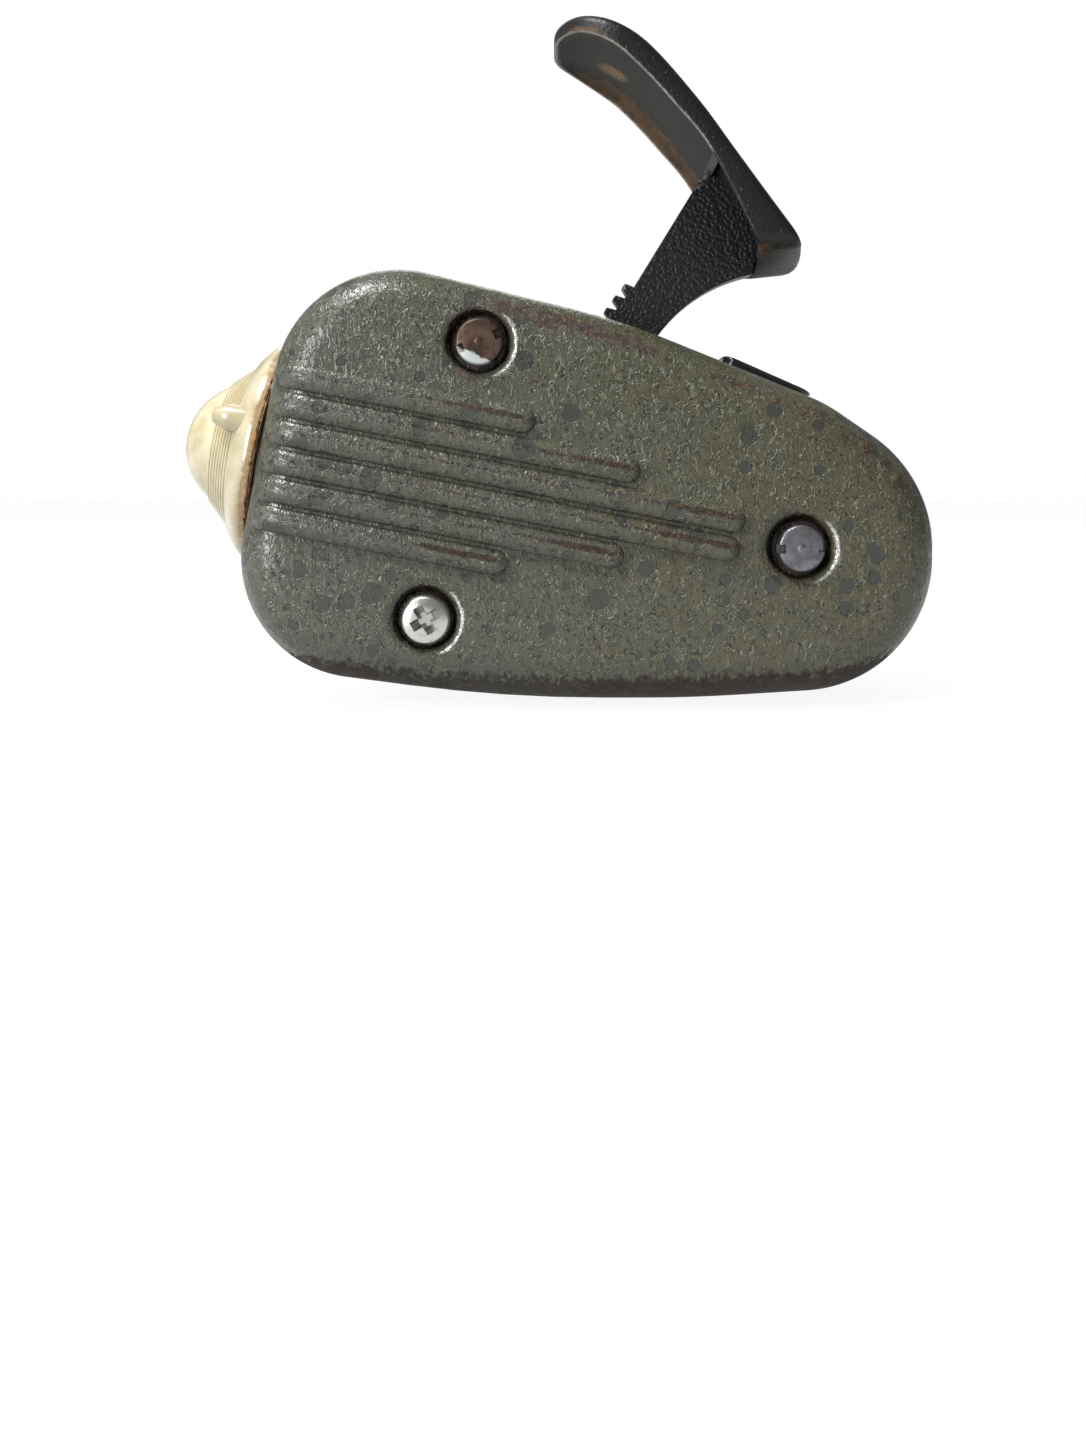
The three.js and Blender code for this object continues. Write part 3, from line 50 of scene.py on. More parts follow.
# Casing, with the solids' own sizes
LENGTH = 104.6
HEIGHT = 66
HALF_DEPTH = 22.3
SHEET = 1.2
LIP_PROUD = 1.5
LIP_OVERLAP = 1.8
LIP_LAND = 0.3
FLARE = 5.2
EDGE_RADIUS = 6.5
CROWN = 0.3
SEAM = 0.1
CORNERS = [
    (-0.4832, 0.0869, 0.29),
    (-0.0658, 0, 3.3),
    (0.1961, 0, 3.2),
    (0.5486, 0.0344, 0.32),
    (0.5514, 0.5269, 0.329),
    (0.3923, 0.7002, 0.36),
    (0.1058, 0.8842, 1.71),
    (-0.3634, 1.0679, 0.3035),
]
RIB_PITCH = 4.13
RIB_START = 4.62
RIB_FOOT = 1.85
RIB_HEIGHT = 0.85
RIB_ENDS = [0.3712, 0.5248, 0.6783, 0.6783, 0.5248, 0.3712]
PATTERN_RISE = 1.3
SCREW_FORWARD = 30.57
SCREW_SPREAD = 20.2
TAIL_SCREW_FORWARD = 81.32
DISH_DEPTH = 2.2
DISH_OUTER = 6.6
RIB_FULLNESS = 0.8
CROWN_REACH = 16
LAMP_HOLE = 15.9
LAMP_SEAT = 17.7
LAMP_CUT = (-30, 20)
ARM_SLOT = ((-3.42, -2.5), (17.37, -2.5), (17.37, 2.5), (-3.42, 2.5))
ARM_SLOT_HEIGHTS = (49, 74)

# Steps of the casing's mesh
DISH_SIDES = 96
RIB_BIT = 1.3
RIB_CAP = 12
RIB_LEVELS = 9
SHEET_PITCH = 2.2
SHEET_INSETS = (3, 3.8, 4.7, 5.7, 6.8, 8)
TOUCHING = 0.002

# Lever, from its pivot
PIVOT = Vector((0.3497 * LENGTH, 0.6395 * HEIGHT))
HANDLE_REACH = 70.1
HANDLE_HALF_WIDTH = 15.2
HANDLE_PLATE = 1.8
HANDLE_RIM = 0.8
HANDLE_SHOULDER = 1.4
HANDLE_BOWL = 6.5
TAIL_BOW = 1.8
TAIL_CORNER = 3
HANDLE_TIP_RADIUS = 12
HANDLE_BACK = [
    (0.0228, 0.3709),
    (-0.0556, 0.4765),
    (-0.1298, 0.5777),
    (-0.2054, 0.6805),
    (-0.3053, 0.7946),
    (-0.3766, 0.8459),
    (-0.4522, 0.8745),
    (-0.515, 0.8788),
]
HANDLE_EDGE = [
    (-0.0755, 0.3605),
    (-0.1805, 0.5705),
    (-0.2661, 0.6777),
    (-0.3374, 0.7547),
    (-0.3929, 0.8012),
    (-0.4608, 0.835),
    (-0.515, 0.8417),
]
ARM_HALF = 2
ARM_BEVEL = 0.14
HUB_BORE = 1.65
HUB_RADIUS = 2.5
HUB_HALF = 3.1
STUD_PLACE = (12, 82)
STUD_LENGTH = 2.9
ARM_FRONT = (-0.1612, 0.5949)
ARM_HEEL = (-0.0656, 0.3623)
SECTOR_TEETH = 88
SECTOR_SHOWN = 11
SECTOR_MODULE = 0.75
PINION_DEGREES = 85.6
PRESSURE_DEGREES = 20
ADDENDUM = 0.6
DEDENDUM = 1.25
TOOTH_THINNING = 0.12
INNER_ARC = 24.3


def polar(radius, angle):
    return Vector((radius * math.cos(angle), radius * math.sin(angle)))


def blend(low, high, value):
    """Smooth step from 0 at low to 1 at high."""
    share = min(max((value - low) / (high - low), 0), 1)
    return share * share * (3 - 2 * share)


# Meshes


def mesh_piece(name, points, faces, smooth_degrees=SMOOTH_DEGREES):
    """Makes a welded mesh object from points in millimetres, its faces turned outwards."""
    mesh = bpy.data.meshes.new(name)
    mesh.from_pydata([Vector(p) * MM for p in points], [], faces)
    shaped = bmesh.new()
    shaped.from_mesh(mesh)
    bmesh.ops.remove_doubles(shaped, verts=shaped.verts, dist=0.004 * MM)
    bmesh.ops.recalc_face_normals(shaped, faces=shaped.faces)
    shaped.to_mesh(mesh)
    shaped.free()
    piece = bpy.data.objects.new(name, mesh)
    bpy.context.scene.collection.objects.link(piece)
    soften(piece, smooth_degrees)
    return piece


def soften(piece, degrees):
    piece.data.shade_smooth()
    piece.data.set_sharp_from_angle(angle=math.radians(degrees))


def cut_away(piece, *tools):
    """Cuts the tools out of a piece, and turns all that its modifiers give into its own mesh."""
    for tool in tools:
        modifier = piece.modifiers.new("cut", "BOOLEAN")
        modifier.operation = "DIFFERENCE"
        modifier.solver = "EXACT"
        modifier.object = tool
    shown = piece.evaluated_get(bpy.context.evaluated_depsgraph_get())
    mesh = bpy.data.meshes.new_from_object(shown)
    piece.modifiers.clear()
    piece.data = mesh
    soften(piece, SMOOTH_DEGREES)
    for tool in tools:
        bpy.data.objects.remove(tool)


def skin(loops, closed=True, capped=False):
    """Quads between loops of equal count, with a face over each end if capped."""
    count = len(loops[0])
    points = [p for loop in loops for p in loop]
    faces = []
    for row in range(len(loops) - 1):
        for k in range(count if closed else count - 1):
            a = row * count + k
            b = row * count + (k + 1) % count
            faces.append((a, b, b + count, a + count))
    if capped:
        faces += [tuple(range(count)), tuple(range(len(points) - count, len(points)))]
    return points, faces


def merged(*parts):
    """One list of points and one of faces from several."""
    points, faces = [], []
    for some_points, some_faces in parts:
        start = len(points)
        points += [Vector(p) for p in some_points]
        faces += [tuple(start + i for i in face) for face in some_faces]
    return points, faces


def rounded(profile, radius, steps):
    """A bent line with each inner corner rounded, as far as its two sides allow."""
    corners = [Vector(p) for p in profile]
    line = [corners[0]]
    for before, corner, after in zip(corners, corners[1:], corners[2:]):
        room = min(radius, 0.45 * (before - corner).length, 0.45 * (after - corner).length)
        start = corner + (before - corner).normalized() * room
        end = corner + (after - corner).normalized() * room
        for k in range(steps + 1):
            share = k / steps
            line.append(start.lerp(corner, share).lerp(corner.lerp(end, share), share))
    return [*line, corners[-1]]


def lathe(profile, place, sides):
    """Turns radius and height pairs round the local Z axis of a placing matrix."""
    loops = []
    for radius, height in profile:
        ring = [polar(radius, 2 * math.pi * k / sides) for k in range(sides)]
        loops.append([place @ Vector((p.x, p.y, height)) for p in ring])
    return skin(loops)


def frame_of(origin, z_axis, x_axis):
    """A placing matrix whose local Z and X point as given."""
    z_axis = Vector(z_axis).normalized()
    y_axis = z_axis.cross(Vector(x_axis)).normalized()
    x_axis = y_axis.cross(z_axis)
    turn = Matrix((x_axis, y_axis, z_axis)).transposed().to_4x4()
    return Matrix.Translation(Vector(origin)) @ turn


def dress(piece, body, slot, material, *replaced):
    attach(piece, body)
    if replaced:
        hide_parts(*replaced)
    piece.data.materials.clear()
    piece.data.materials.append(material)
    return piece


def mark(piece, name, function):
    """Stores a value from 0 to 1 at every point, worked out from its place in millimetres."""
    layer = piece.data.attributes.new(name, "FLOAT", "POINT")
    values = [min(max(function(v.co / MM), 0), 1) for v in piece.data.vertices]
    layer.data.foreach_set("value", values)


# Materials


def colour(hexadecimal):
    """sRGB hex to linear RGBA."""
    parts = [int(hexadecimal[i : i + 2], 16) / 255 for i in (1, 3, 5)]
    return [*(c / 12.92 if c <= 0.04045 else ((c + 0.055) / 1.055) ** 2.4 for c in parts), 1]


def give(tree, socket, value):
    """Sets an input to a number or a hex colour, or links another node's output to it."""
    if isinstance(value, bpy.types.NodeSocket):
        tree.links.new(value, socket)
    else:
        socket.default_value = colour(value) if isinstance(value, str) else value


def feed(tree, shader, **sockets):
    for key, value in sockets.items():
        give(tree, shader.inputs[key.replace("_", " ")], value)


def add_node(tree, kind, *feeds, out=None, **settings):
    """Adds a node and gives one of its outputs: the named one, or else the first in use.

    The feeds go to the inputs in use, in order. The settings name properties or inputs, with _ for a space.
    """
    made = tree.nodes.new("ShaderNode" + kind)
    for key, value in settings.items():
        if hasattr(made, key):
            setattr(made, key, value)
        else:
            feed(tree, made, **{key: value})
    for socket, value in zip([s for s in made.inputs if s.enabled], feeds):
        give(tree, socket, value)
    return made.outputs[out] if out else next(s for s in made.outputs if s.enabled)


def new_material(name, base, metallic, roughness, **settings):
    """A principled material and its tree, shader and object coordinates."""
    material = bpy.data.materials.new(name)
    material.use_nodes = True
    tree = material.node_tree
    shader = tree.nodes["Principled BSDF"]
    feed(tree, shader, Base_Color=base, Metallic=metallic, Roughness=roughness, **settings)
    return material, tree, shader, add_node(tree, "TexCoord", out="Object")


def per_size(millimetres):
    """Scale at which the largest grains or the cells are about this size."""
    return 1 / (millimetres * MM)


def shifted(tree, base, mask, share):
    """A value, changed by the given share where the mask is 1."""
    return add_node(tree, "Math", base, add_node(tree, "Math", mask, share, operation="MULTIPLY"))


def patches(tree, place, millimetres, low, high, detail=3, roughness=0.55):
    """Patches of about the given size, where noise rises from low to high."""
    cloud = add_node(tree, "TexNoise", place, Scale=per_size(millimetres), Detail=detail, Roughness=roughness)
    return add_node(tree, "MapRange", cloud, low, high, interpolation_type="SMOOTHSTEP")


def worn(tree, place, name, millimetres, share, low, high, detail=4, roughness=0.55):
    """Where a stored mark and a share of noise together rise from low to high."""
    cloud = add_node(tree, "TexNoise", place, Scale=per_size(millimetres), Detail=detail, Roughness=roughness)
    stored = add_node(tree, "Attribute", out="Fac", attribute_name=name)
    both = shifted(tree, stored, cloud, share)
    return add_node(tree, "MapRange", both, low, high, interpolation_type="SMOOTHSTEP")


def tinted(tree, paint, mask, tint, strength=1):
    """The paint with a tint laid over it where the mask is 1."""
    if strength < 1:
        mask = add_node(tree, "Math", mask, strength, operation="MULTIPLY")
    return add_node(tree, "Mix", mask, paint, tint, data_type="RGBA")


def clouded(tree, place, millimetres, first, second, detail=4):
    """Two colours in clouds of about the given size."""
    cloud = add_node(tree, "TexNoise", place, Scale=per_size(millimetres), Detail=detail, Roughness=0.55)
    return tinted(tree, first, cloud, second)


def grainy(tree, place, millimetres, detail, height):
    """Relief of grains of about the given size, with its height in millimetres."""
    cloud = add_node(tree, "TexNoise", place, Scale=per_size(millimetres), Detail=detail, Roughness=0.55)
    return add_node(tree, "Bump", Height=cloud, Distance=height * MM)


def ragged(tree, place, millimetres, share):
    """Coordinates shaken by noise, so that round marks get uneven edges."""
    shake = add_node(tree, "TexNoise", place, out="Color", Scale=per_size(millimetres), Detail=2)
    shake = add_node(tree, "VectorMath", shake, share * millimetres * MM, operation="SCALE")
    return add_node(tree, "VectorMath", place, shake)


def casing_enamel():
    """Stoved enamel over pressed steel: short upright wrinkles, round blotches, edges rubbed to metal.

    Rust has come through it in places. The wrinkles carry painted highlights and painted shade, a painted
    highlight arc lies on the right of each screw dish, painted shade lies in the dishes and beside the ribs,
    the worn tail edge is painted dark as well for its shade, and the enamel is darker towards the bottom.
    """
    material, tree, shader, place = new_material("olive_stoved_enamel", "#5c5e50", 0, 0.3, IOR=1.5)
    cloud = add_node(tree, "TexNoise", place, Scale=per_size(11), Detail=3, Roughness=0.55)
    cloud = shifted(tree, cloud, add_node(tree, "SeparateXYZ", place, out="X"), 7)
    cloud = add_node(tree, "MapRange", cloud, 0.15, 0.95, interpolation_type="SMOOTHSTEP")
    paint = tinted(tree, "#4f5147", cloud, "#504d37")
    paint = tinted(tree, paint, patches(tree, place, 1.5, 0.35, 0.65, 4, 0.65), "#3c3e35", 0.35)

    distance = add_node(tree, "TexVoronoi", ragged(tree, place, 0.5, 0.22), Scale=per_size(3.6))
    size = add_node(tree, "SeparateColor", distance.node.outputs["Color"], out="Red")
    size = add_node(tree, "Math", size, 2, operation="POWER")
    size = add_node(tree, "Math", size, 0.5, operation="MULTIPLY")
    blotch = add_node(tree, "Math", size, distance, operation="SUBTRACT")
    blotch = add_node(tree, "MapRange", blotch, -0.01, 0.015, interpolation_type="SMOOTHSTEP")
    flatter = shifted(tree, 1, blotch, -0.85)

    upright = add_node(tree, "Mapping", place, Scale=(1, 1, 0.6))
    swirl = add_node(tree, "TexNoise", upright, Scale=per_size(1), Detail=1.5, Roughness=0.5, Distortion=1)
    here = patches(tree, place, 1.3, 0.4, 0.52, 2)
    here = add_node(tree, "Math", here, flatter, operation="MULTIPLY")

    def wrinkle(level, half_width):
        away = add_node(tree, "Math", swirl, level, operation="SUBTRACT")
        away = add_node(tree, "Math", away, operation="ABSOLUTE")
        away = add_node(tree, "MapRange", away, 0.004, half_width, interpolation_type="SMOOTHSTEP")
        line = add_node(tree, "Math", 1, away, operation="SUBTRACT")
        return add_node(tree, "Math", line, here, operation="MULTIPLY")

    # Painted highlight on the wrinkles' light crests, and painted shade along their dark lines.
    crest = wrinkle(0.5, 0.05)
    shadow = add_node(tree, "Math", wrinkle(0.575, 0.05), wrinkle(0.41, 0.035), operation="MAXIMUM")
    speck = patches(tree, place, 0.7, 0.62, 0.67, 2)
    fleck = patches(tree, place, 0.42, 0.76, 0.8, 1)
    for mask, tint, strength in (
        (shadow, "#22231d", 0.65),
        (crest, "#8c8c76", 0.28),
        (blotch, "#353833", 0.9),
        (speck, "#1f201c", 0.8),
        (fleck, "#a79f83", 0.4),
    ):
        paint = tinted(tree, paint, mask, tint, strength)

    # The wear mark is rubbing on the lip and rib crests, a painted highlight on the right of each dish rim,
    # and on the tail's edge also painted shade.
    bare = worn(tree, place, "wear", 1.1, 0.9, 0.8, 1, 5, 0.7)
    metal = tinted(tree, "#2f2c2b", patches(tree, place, 0.8, 0.42, 0.62, 4, 0.7), "#625c59")
    paint = tinted(tree, paint, bare, metal, 0.85)

    rusted_through = worn(tree, place, "rust", 1.6, 0.95, 0.84, 1, 5, 0.7)
    fine = patches(tree, place, 0.7, 0.48, 0.68, 4, 0.7)
    maroon = tinted(tree, "#1b0f0b", fine, "#3f2519")
    coppery = tinted(tree, "#231a16", fine, "#5c4734")
    coppery = tinted(tree, coppery, patches(tree, place, 0.55, 0.58, 0.66, 3, 0.6), "#80592f", 0.8)
    rust = tinted(tree, maroon, add_node(tree, "Attribute", out="Fac", attribute_name="copper"), coppery)
    paint = tinted(tree, paint, rusted_through, rust, 0.9)

    # Darker towards the bottom shoulder, in upright streaks.
    streaked = add_node(tree, "Mapping", place, Scale=(1, 1, 0.35))
    darker_low = worn(tree, streaked, "foot", 0.6, 1.2, 0.95, 1.22, 4, 0.6)
    paint = tinted(tree, paint, darker_low, "#1f1712", 0.85)
    # Painted shade in the screw dishes, beside the ribs and past their ends, broken up by noise.
    painted_shade = add_node(tree, "Attribute", out="Fac", attribute_name="painted_shade")
    shade_breakup = add_node(tree, "TexNoise", place, Scale=per_size(1.3), Detail=4, Roughness=0.6)
    shade_breakup = add_node(tree, "Math", shade_breakup, 0.55)
    paint = tinted(tree, paint, add_node(tree, "Math", painted_shade, shade_breakup, operation="MULTIPLY"), "#211a14")
    # Painted highlight: a bright silver arc on the right of each screw dish.
    arc_highlight = worn(tree, place, "arc_highlight", 0.8, 0.5, 0.62, 0.9, 4, 0.65)
    paint = tinted(tree, paint, arc_highlight, "#b3b4ae")

    relief = add_node(tree, "Math", swirl, flatter, operation="MULTIPLY")
    relief = shifted(tree, relief, crest, 0.5)
    relief = add_node(tree, "Math", relief, shifted(tree, 1, bare, -0.6), operation="MULTIPLY")
    relief = shifted(tree, shifted(tree, relief, blotch, -0.2), speck, -0.5)
    rough = shifted(tree, 0.25, patches(tree, place, 1.6, 0.3, 0.7), 0.1)
    matt = add_node(tree, "Math", rusted_through, darker_low, operation="MAXIMUM")
    dull_metal = add_node(tree, "Math", bare, 0.25, operation="MULTIPLY")
    bright_metal = add_node(tree, "Math", arc_highlight, 0.7, operation="MULTIPLY")
    feed(
        tree,
        shader,
        Base_Color=paint,
        Metallic=add_node(tree, "Math", dull_metal, bright_metal, operation="MAXIMUM"),
        Roughness=shifted(tree, rough, matt, 0.5),
        Normal=add_node(tree, "Bump", Height=relief, Distance=0.15 * MM),
    )
    return material


def crackle_enamel(name, relief):
    """Black crackle enamel, smoother in the handle's hollow, brown from hands and bare along the edges."""
    material, tree, shader, place = new_material(name, "#1c1c1d", 0, 0.42, IOR=1.36)
    around = ragged(tree, place, 0.6, 0.5)
    cells = add_node(tree, "TexVoronoi", around, feature="SMOOTH_F1", Scale=per_size(0.6), Smoothness=0.4)
    crackle = add_node(tree, "MapRange", cells, 0.1, 0.75, interpolation_type="SMOOTHSTEP")
    hollow = add_node(tree, "Attribute", out="Fac", attribute_name="hollow")
    crackle = add_node(tree, "Math", crackle, shifted(tree, 1, hollow, -0.3), operation="MULTIPLY")
    paint = clouded(tree, place, 5, "#0d0e0e", "#171818")
    paint = tinted(tree, paint, hollow, clouded(tree, place, 5, "#161512", "#242320"))
    paint = tinted(tree, paint, patches(tree, place, 0.5, 0.68, 0.74, 2), "#77746c", 0.5)
    paint = tinted(tree, paint, worn(tree, place, "brown", 2.4, 0.8, 0.72, 1.15, 4, 0.65), "#5c4732")
    paint = tinted(tree, paint, worn(tree, place, "scuff", 0.9, 0.6, 0.95, 1.2, 4, 0.7), "#8d7458")
    bare = worn(tree, place, "wear", 0.9, 0.8, 0.92, 1.12, 5, 0.7)
    feed(
        tree,
        shader,
        Base_Color=tinted(tree, paint, bare, "#8b8882"),
        Metallic=add_node(tree, "Math", bare, 0.8, operation="MULTIPLY"),
        Roughness=shifted(tree, 0.42, hollow, 0.3),
        Normal=add_node(tree, "Bump", Height=crackle, Distance=relief * MM),
    )
    return material


def aged_metal(name, base, stain, roughness, stain_amount):
    """Plated or plain metal with a cloudy stain and a faint grain."""
    material, tree, shader, place = new_material(name, base, 1, roughness)
    more = stain_amount / 3
    spread = patches(tree, place, 1.8, 0.62 - more, 0.75 - more, 5, 0.65)
    tone = tinted(tree, base, spread, clouded(tree, place, 0.7, base, stain, 3))
    rough = shifted(tree, roughness, spread, 0.22)
    feed(tree, shader, Base_Color=tone, Roughness=rough, Normal=grainy(tree, place, 0.6, 4, 0.02))
    return material


def rusty_metal():
    """Zinc plate rusted through, with a painted reflection: bright where a mark says so."""
    material, tree, shader, place = new_material("rusted_zinc_plate", "#5c4334", 0.55, 0.4)
    tone = tinted(tree, "#3a2820", patches(tree, place, 2.2, 0.35, 0.65, 4, 0.6), "#5a473c")
    tone = tinted(tree, tone, patches(tree, place, 0.6, 0.6, 0.7), "#3b2620")
    tone = tinted(tree, tone, worn(tree, place, "bright", 1.2, 0.4, 0.6, 0.85), "#b4bab8")
    feed(tree, shader, Base_Color=tone, Normal=grainy(tree, place, 0.6, 4, 0.03))
    return material


def cream_plastic():
    """Moulded polystyrene gone yellow: light spreads inside it, so it looks milky."""
    material, tree, shader, place = new_material(
        "yellowed_polystyrene",
        "#cdc6ad",
        0,
        0.2,
        IOR=1.55,
        Subsurface_Weight=0.25,
        Subsurface_Scale=1.2 * MM,
        Subsurface_Radius=(1, 0.9, 0.65),
    )
    groove = add_node(tree, "Attribute", out="Fac", attribute_name="groove")
    tone = tinted(tree, "#cfc7ac", patches(tree, place, 5, 0.3, 0.72, 4), "#b3a785")
    tone = tinted(tree, tone, worn(tree, place, "wear", 0.8, 0.7, 0.9, 1.15), "#8f6d42", 0.75)
    # Painted shade in the ring grooves and on the collar.
    tone = tinted(tree, tone, groove, "#7d6f4c", 0.75)
    feed(tree, shader, Base_Color=tone, Normal=grainy(tree, place, 2.5, 2, 0.03))
    return material


def putty():
    """Old putty and rust squeezed out round the lens, dry and crumbly."""
    material, tree, shader, place = new_material("crumbly_putty", "#7a5132", 0, 0.9)
    tone = tinted(tree, "#2c1a10", patches(tree, place, 0.9, 0.38, 0.62, 5, 0.7), "#a8743f")
    feed(tree, shader, Base_Color=tone, Normal=grainy(tree, place, 0.5, 5, 0.15))
    return material


def plain_finish(name, base, metallic, roughness, second, grain=1, relief=0.03, **settings):
    """A finish with clouds of a second colour and a fine relief."""
    material, tree, shader, place = new_material(name, base, metallic, roughness, **settings)
    tone = clouded(tree, place, 3 * grain, base, second)
    feed(tree, shader, Base_Color=tone, Normal=grainy(tree, place, grain, 3, relief))
    return material


enamel = casing_enamel()
satin_black = crackle_enamel("rubbed_black_enamel", 0.035)
crackle = crackle_enamel("black_crackle_enamel", 0.09)
cream = cream_plastic()
crumbs = putty()
bright_zinc = aged_metal("bright_zinc_plate", "#b9b9b4", "#77736a", 0.3, 0.3)
dull_zinc = aged_metal("dull_zinc_plate", "#77767a", "#4b494c", 0.38, 0.6)
rusted = rusty_metal()
gloss_black = plain_finish("gloss_black_enamel", "#0f0f10", 0, 0.16, "#1b1b1c", 2.0, 0.015)
plain_steel = aged_metal("oiled_steel", "#8a8c8c", "#55524c", 0.34, 0.4)
yellow_brass = aged_metal("drawn_brass", "#b08d4a", "#6f5626", 0.3, 0.4)
magnet_grey = plain_finish("cast_magnet_alloy", "#4a4a4c", 0.7, 0.55, "#2f2f31")
sheet_iron = plain_finish("stacked_core_iron", "#55575a", 0.8, 0.5, "#34302c", 0.5)
copper = plain_finish("enamelled_copper_wire", "#8c4a26", 0.6, 0.35, "#5f2d16", 0.3, 0.06)
silvered = plain_finish("silvered_reflector", "#d8d8d6", 1, 0.1, "#b9b7ae", 2.0, 0.005)
clear_glass = plain_finish("clear_glass", "#f2f4f4", 0, 0.03, "#e6eaea", 2, 0, Transmission_Weight=1)
woven = plain_finish("woven_lead_sleeve", "#7a2f26", 0, 0.85, "#4c1c16", 0.4, 0.1)


# Casing


def casing_arcs():
    """Centre, radius, first angle and turn of each rounded corner."""
    places = [Vector((x * LENGTH, z * HEIGHT)) for x, z, _ in CORNERS]
    arcs = []
    for i, (_, _, radius_share) in enumerate(CORNERS):
        radius = radius_share * HEIGHT
        into = places[i] - places[i - 1]
        out = places[(i + 1) % len(places)] - places[i]
        angle = math.atan2(into.y, into.x)
        turn = (math.atan2(out.y, out.x) - angle) % (2 * math.pi)
        centre = places[i] + polar(radius / math.cos(turn / 2), angle + turn / 2 + math.pi / 2)
        arcs.append((centre, radius, angle - math.pi / 2, turn))
    return arcs


ARCS = casing_arcs()
ARC_STEP = math.radians(3)
STRAIGHT_STEP = 2.5
FRONT_FOOT = Vector((CORNERS[0][0] * LENGTH, CORNERS[0][1] * HEIGHT))
FRONT_HEAD = Vector((CORNERS[-1][0] * LENGTH, CORNERS[-1][1] * HEIGHT))
FRONT_UP = (FRONT_HEAD - FRONT_FOOT).normalized()
INWARD = Vector((FRONT_UP.y, -FRONT_UP.x))
LAMP_BASE = FRONT_FOOT + FRONT_UP * ((0.5747 * HEIGHT - FRONT_FOOT.y) / FRONT_UP.y)
LAMP_PLACE = frame_of(
    (LAMP_BASE.x, 0, LAMP_BASE.y),
    (-INWARD.x, 0, -INWARD.y),
    (FRONT_UP.x, 0, FRONT_UP.y),
)


def lamp_point(inward, rise):
    return LAMP_BASE + INWARD * inward + FRONT_UP * rise


SCREWS = [
    lamp_point(SCREW_FORWARD, PATTERN_RISE + SCREW_SPREAD),
    lamp_point(TAIL_SCREW_FORWARD, PATTERN_RISE),
    lamp_point(SCREW_FORWARD, PATTERN_RISE - SCREW_SPREAD),
]
RIBS = [
    (
        lamp_point(RIB_START, PATTERN_RISE + (2.5 - row) * RIB_PITCH),
        lamp_point(end * LENGTH, PATTERN_RISE + (2.5 - row) * RIB_PITCH),
    )
    for row, end in enumerate(RIB_ENDS)
]


def outline(inset):
    """The casing's side outline, drawn in by an inset."""
    points = []
    for i, (centre, radius, start, turn) in enumerate(ARCS):
        steps = max(4, round(turn / ARC_STEP))
        arc = [centre + polar(radius - inset, start + turn * k / steps) for k in range(steps + 1)]
        after, after_radius, after_start, _ = ARCS[(i + 1) % len(ARCS)]
        ahead = after + polar(after_radius - inset, after_start)
        bits = max(1, round((ahead - arc[-1]).length / STRAIGHT_STEP))
        points += arc + [arc[-1].lerp(ahead, k / bits) for k in range(1, bits)]
    return points


def from_segment(point, start, end):
    run = end - start
    share = min(max((point - start).dot(run) / run.length_squared, 0), 1)
    return (point - (start + run * share)).length


def tree_of(ring):
    made = kdtree.KDTree(len(ring))
    for index, point in enumerate(ring):
        made.insert((point.x, point.y, 0), index)
    made.balance()
    return made


def inside(point, ring):
    within = False
    for a, b in zip(ring, ring[1:] + ring[:1]):
        if (a.y > point.y) != (b.y > point.y):
            if point.x < a.x + (b.x - a.x) * (point.y - a.y) / (b.y - a.y):
                within = not within
    return within


SHOULDER = HALF_DEPTH - CROWN
SHEET_INSET = 2.3
SHEET_ANGLE = math.acos(1 - (SHEET_INSET - LIP_PROUD) / EDGE_RADIUS)
SHEET_RING = outline(SHEET_INSET)
SHEET_TREE = tree_of(SHEET_RING)
FLAT_RING = outline(LIP_PROUD + EDGE_RADIUS)
FLAT_TREE = tree_of(FLAT_RING)
RIM_LINE = outline(0)
RIM_TREE = tree_of(RIM_LINE)


def gap_to(point, ring, tree):
    """Distance from a side-view point to a closed line."""
    i = tree.find((point.x, point.y, 0))[1]
    after = ring[(i + 1) % len(ring)]
    return min(from_segment(point, ring[i - 1], ring[i]), from_segment(point, ring[i], after))


def face_depth(point):
    """Depth of the side face at a side-view point: gently crowned, and rounded off at its edge."""
    if SHEET_TREE.find((point.x, point.y, 0))[2] < TOUCHING:
        return SHOULDER - EDGE_RADIUS * (1 - math.sin(SHEET_ANGLE))
    away = gap_to(point, FLAT_RING, FLAT_TREE)
    if inside(point, FLAT_RING):
        return SHOULDER + CROWN * math.sin(math.pi / 2 * min(away / CROWN_REACH, 1))
    return SHOULDER - EDGE_RADIUS + math.sqrt(max(EDGE_RADIUS**2 - away**2, 0))


def rib_loops(start, end):
    """Loops round one rib, from its foot up to its crest, each point with its height."""
    run = (end - start).normalized()
    across = Vector((-run.y, run.x))
    length = (end - start).length
    bits = round(length / RIB_BIT)
    loops = []
    for level in range(RIB_LEVELS + 1):
        away = RIB_FOOT * math.cos(math.pi / 2 * level / RIB_LEVELS)
        swell = RIB_HEIGHT * (1 - (away / RIB_FOOT) ** 2) ** RIB_FULLNESS
        flat = [Vector((length * k / bits, -away)) for k in range(bits + 1)]
        flat += [Vector((length, 0)) + polar(away, math.pi * (k / RIB_CAP - 0.5)) for k in range(1, RIB_CAP)]
        flat += [Vector((length * (1 - k / bits), away)) for k in range(bits + 1)]
        flat += [polar(away, math.pi * (k / RIB_CAP + 0.5)) for k in range(1, RIB_CAP)]
        loops.append([(start + run * p.x + across * p.y, swell) for p in flat])
    return loops


DISH_PROFILE = [(DISH_OUTER, 0), (6.1, 0), (4.9, 0.5), (4.35, 1.35), (4.1, DISH_DEPTH), (1.75, DISH_DEPTH)]
DISH = rounded(DISH_PROFILE, 0.4, 4)


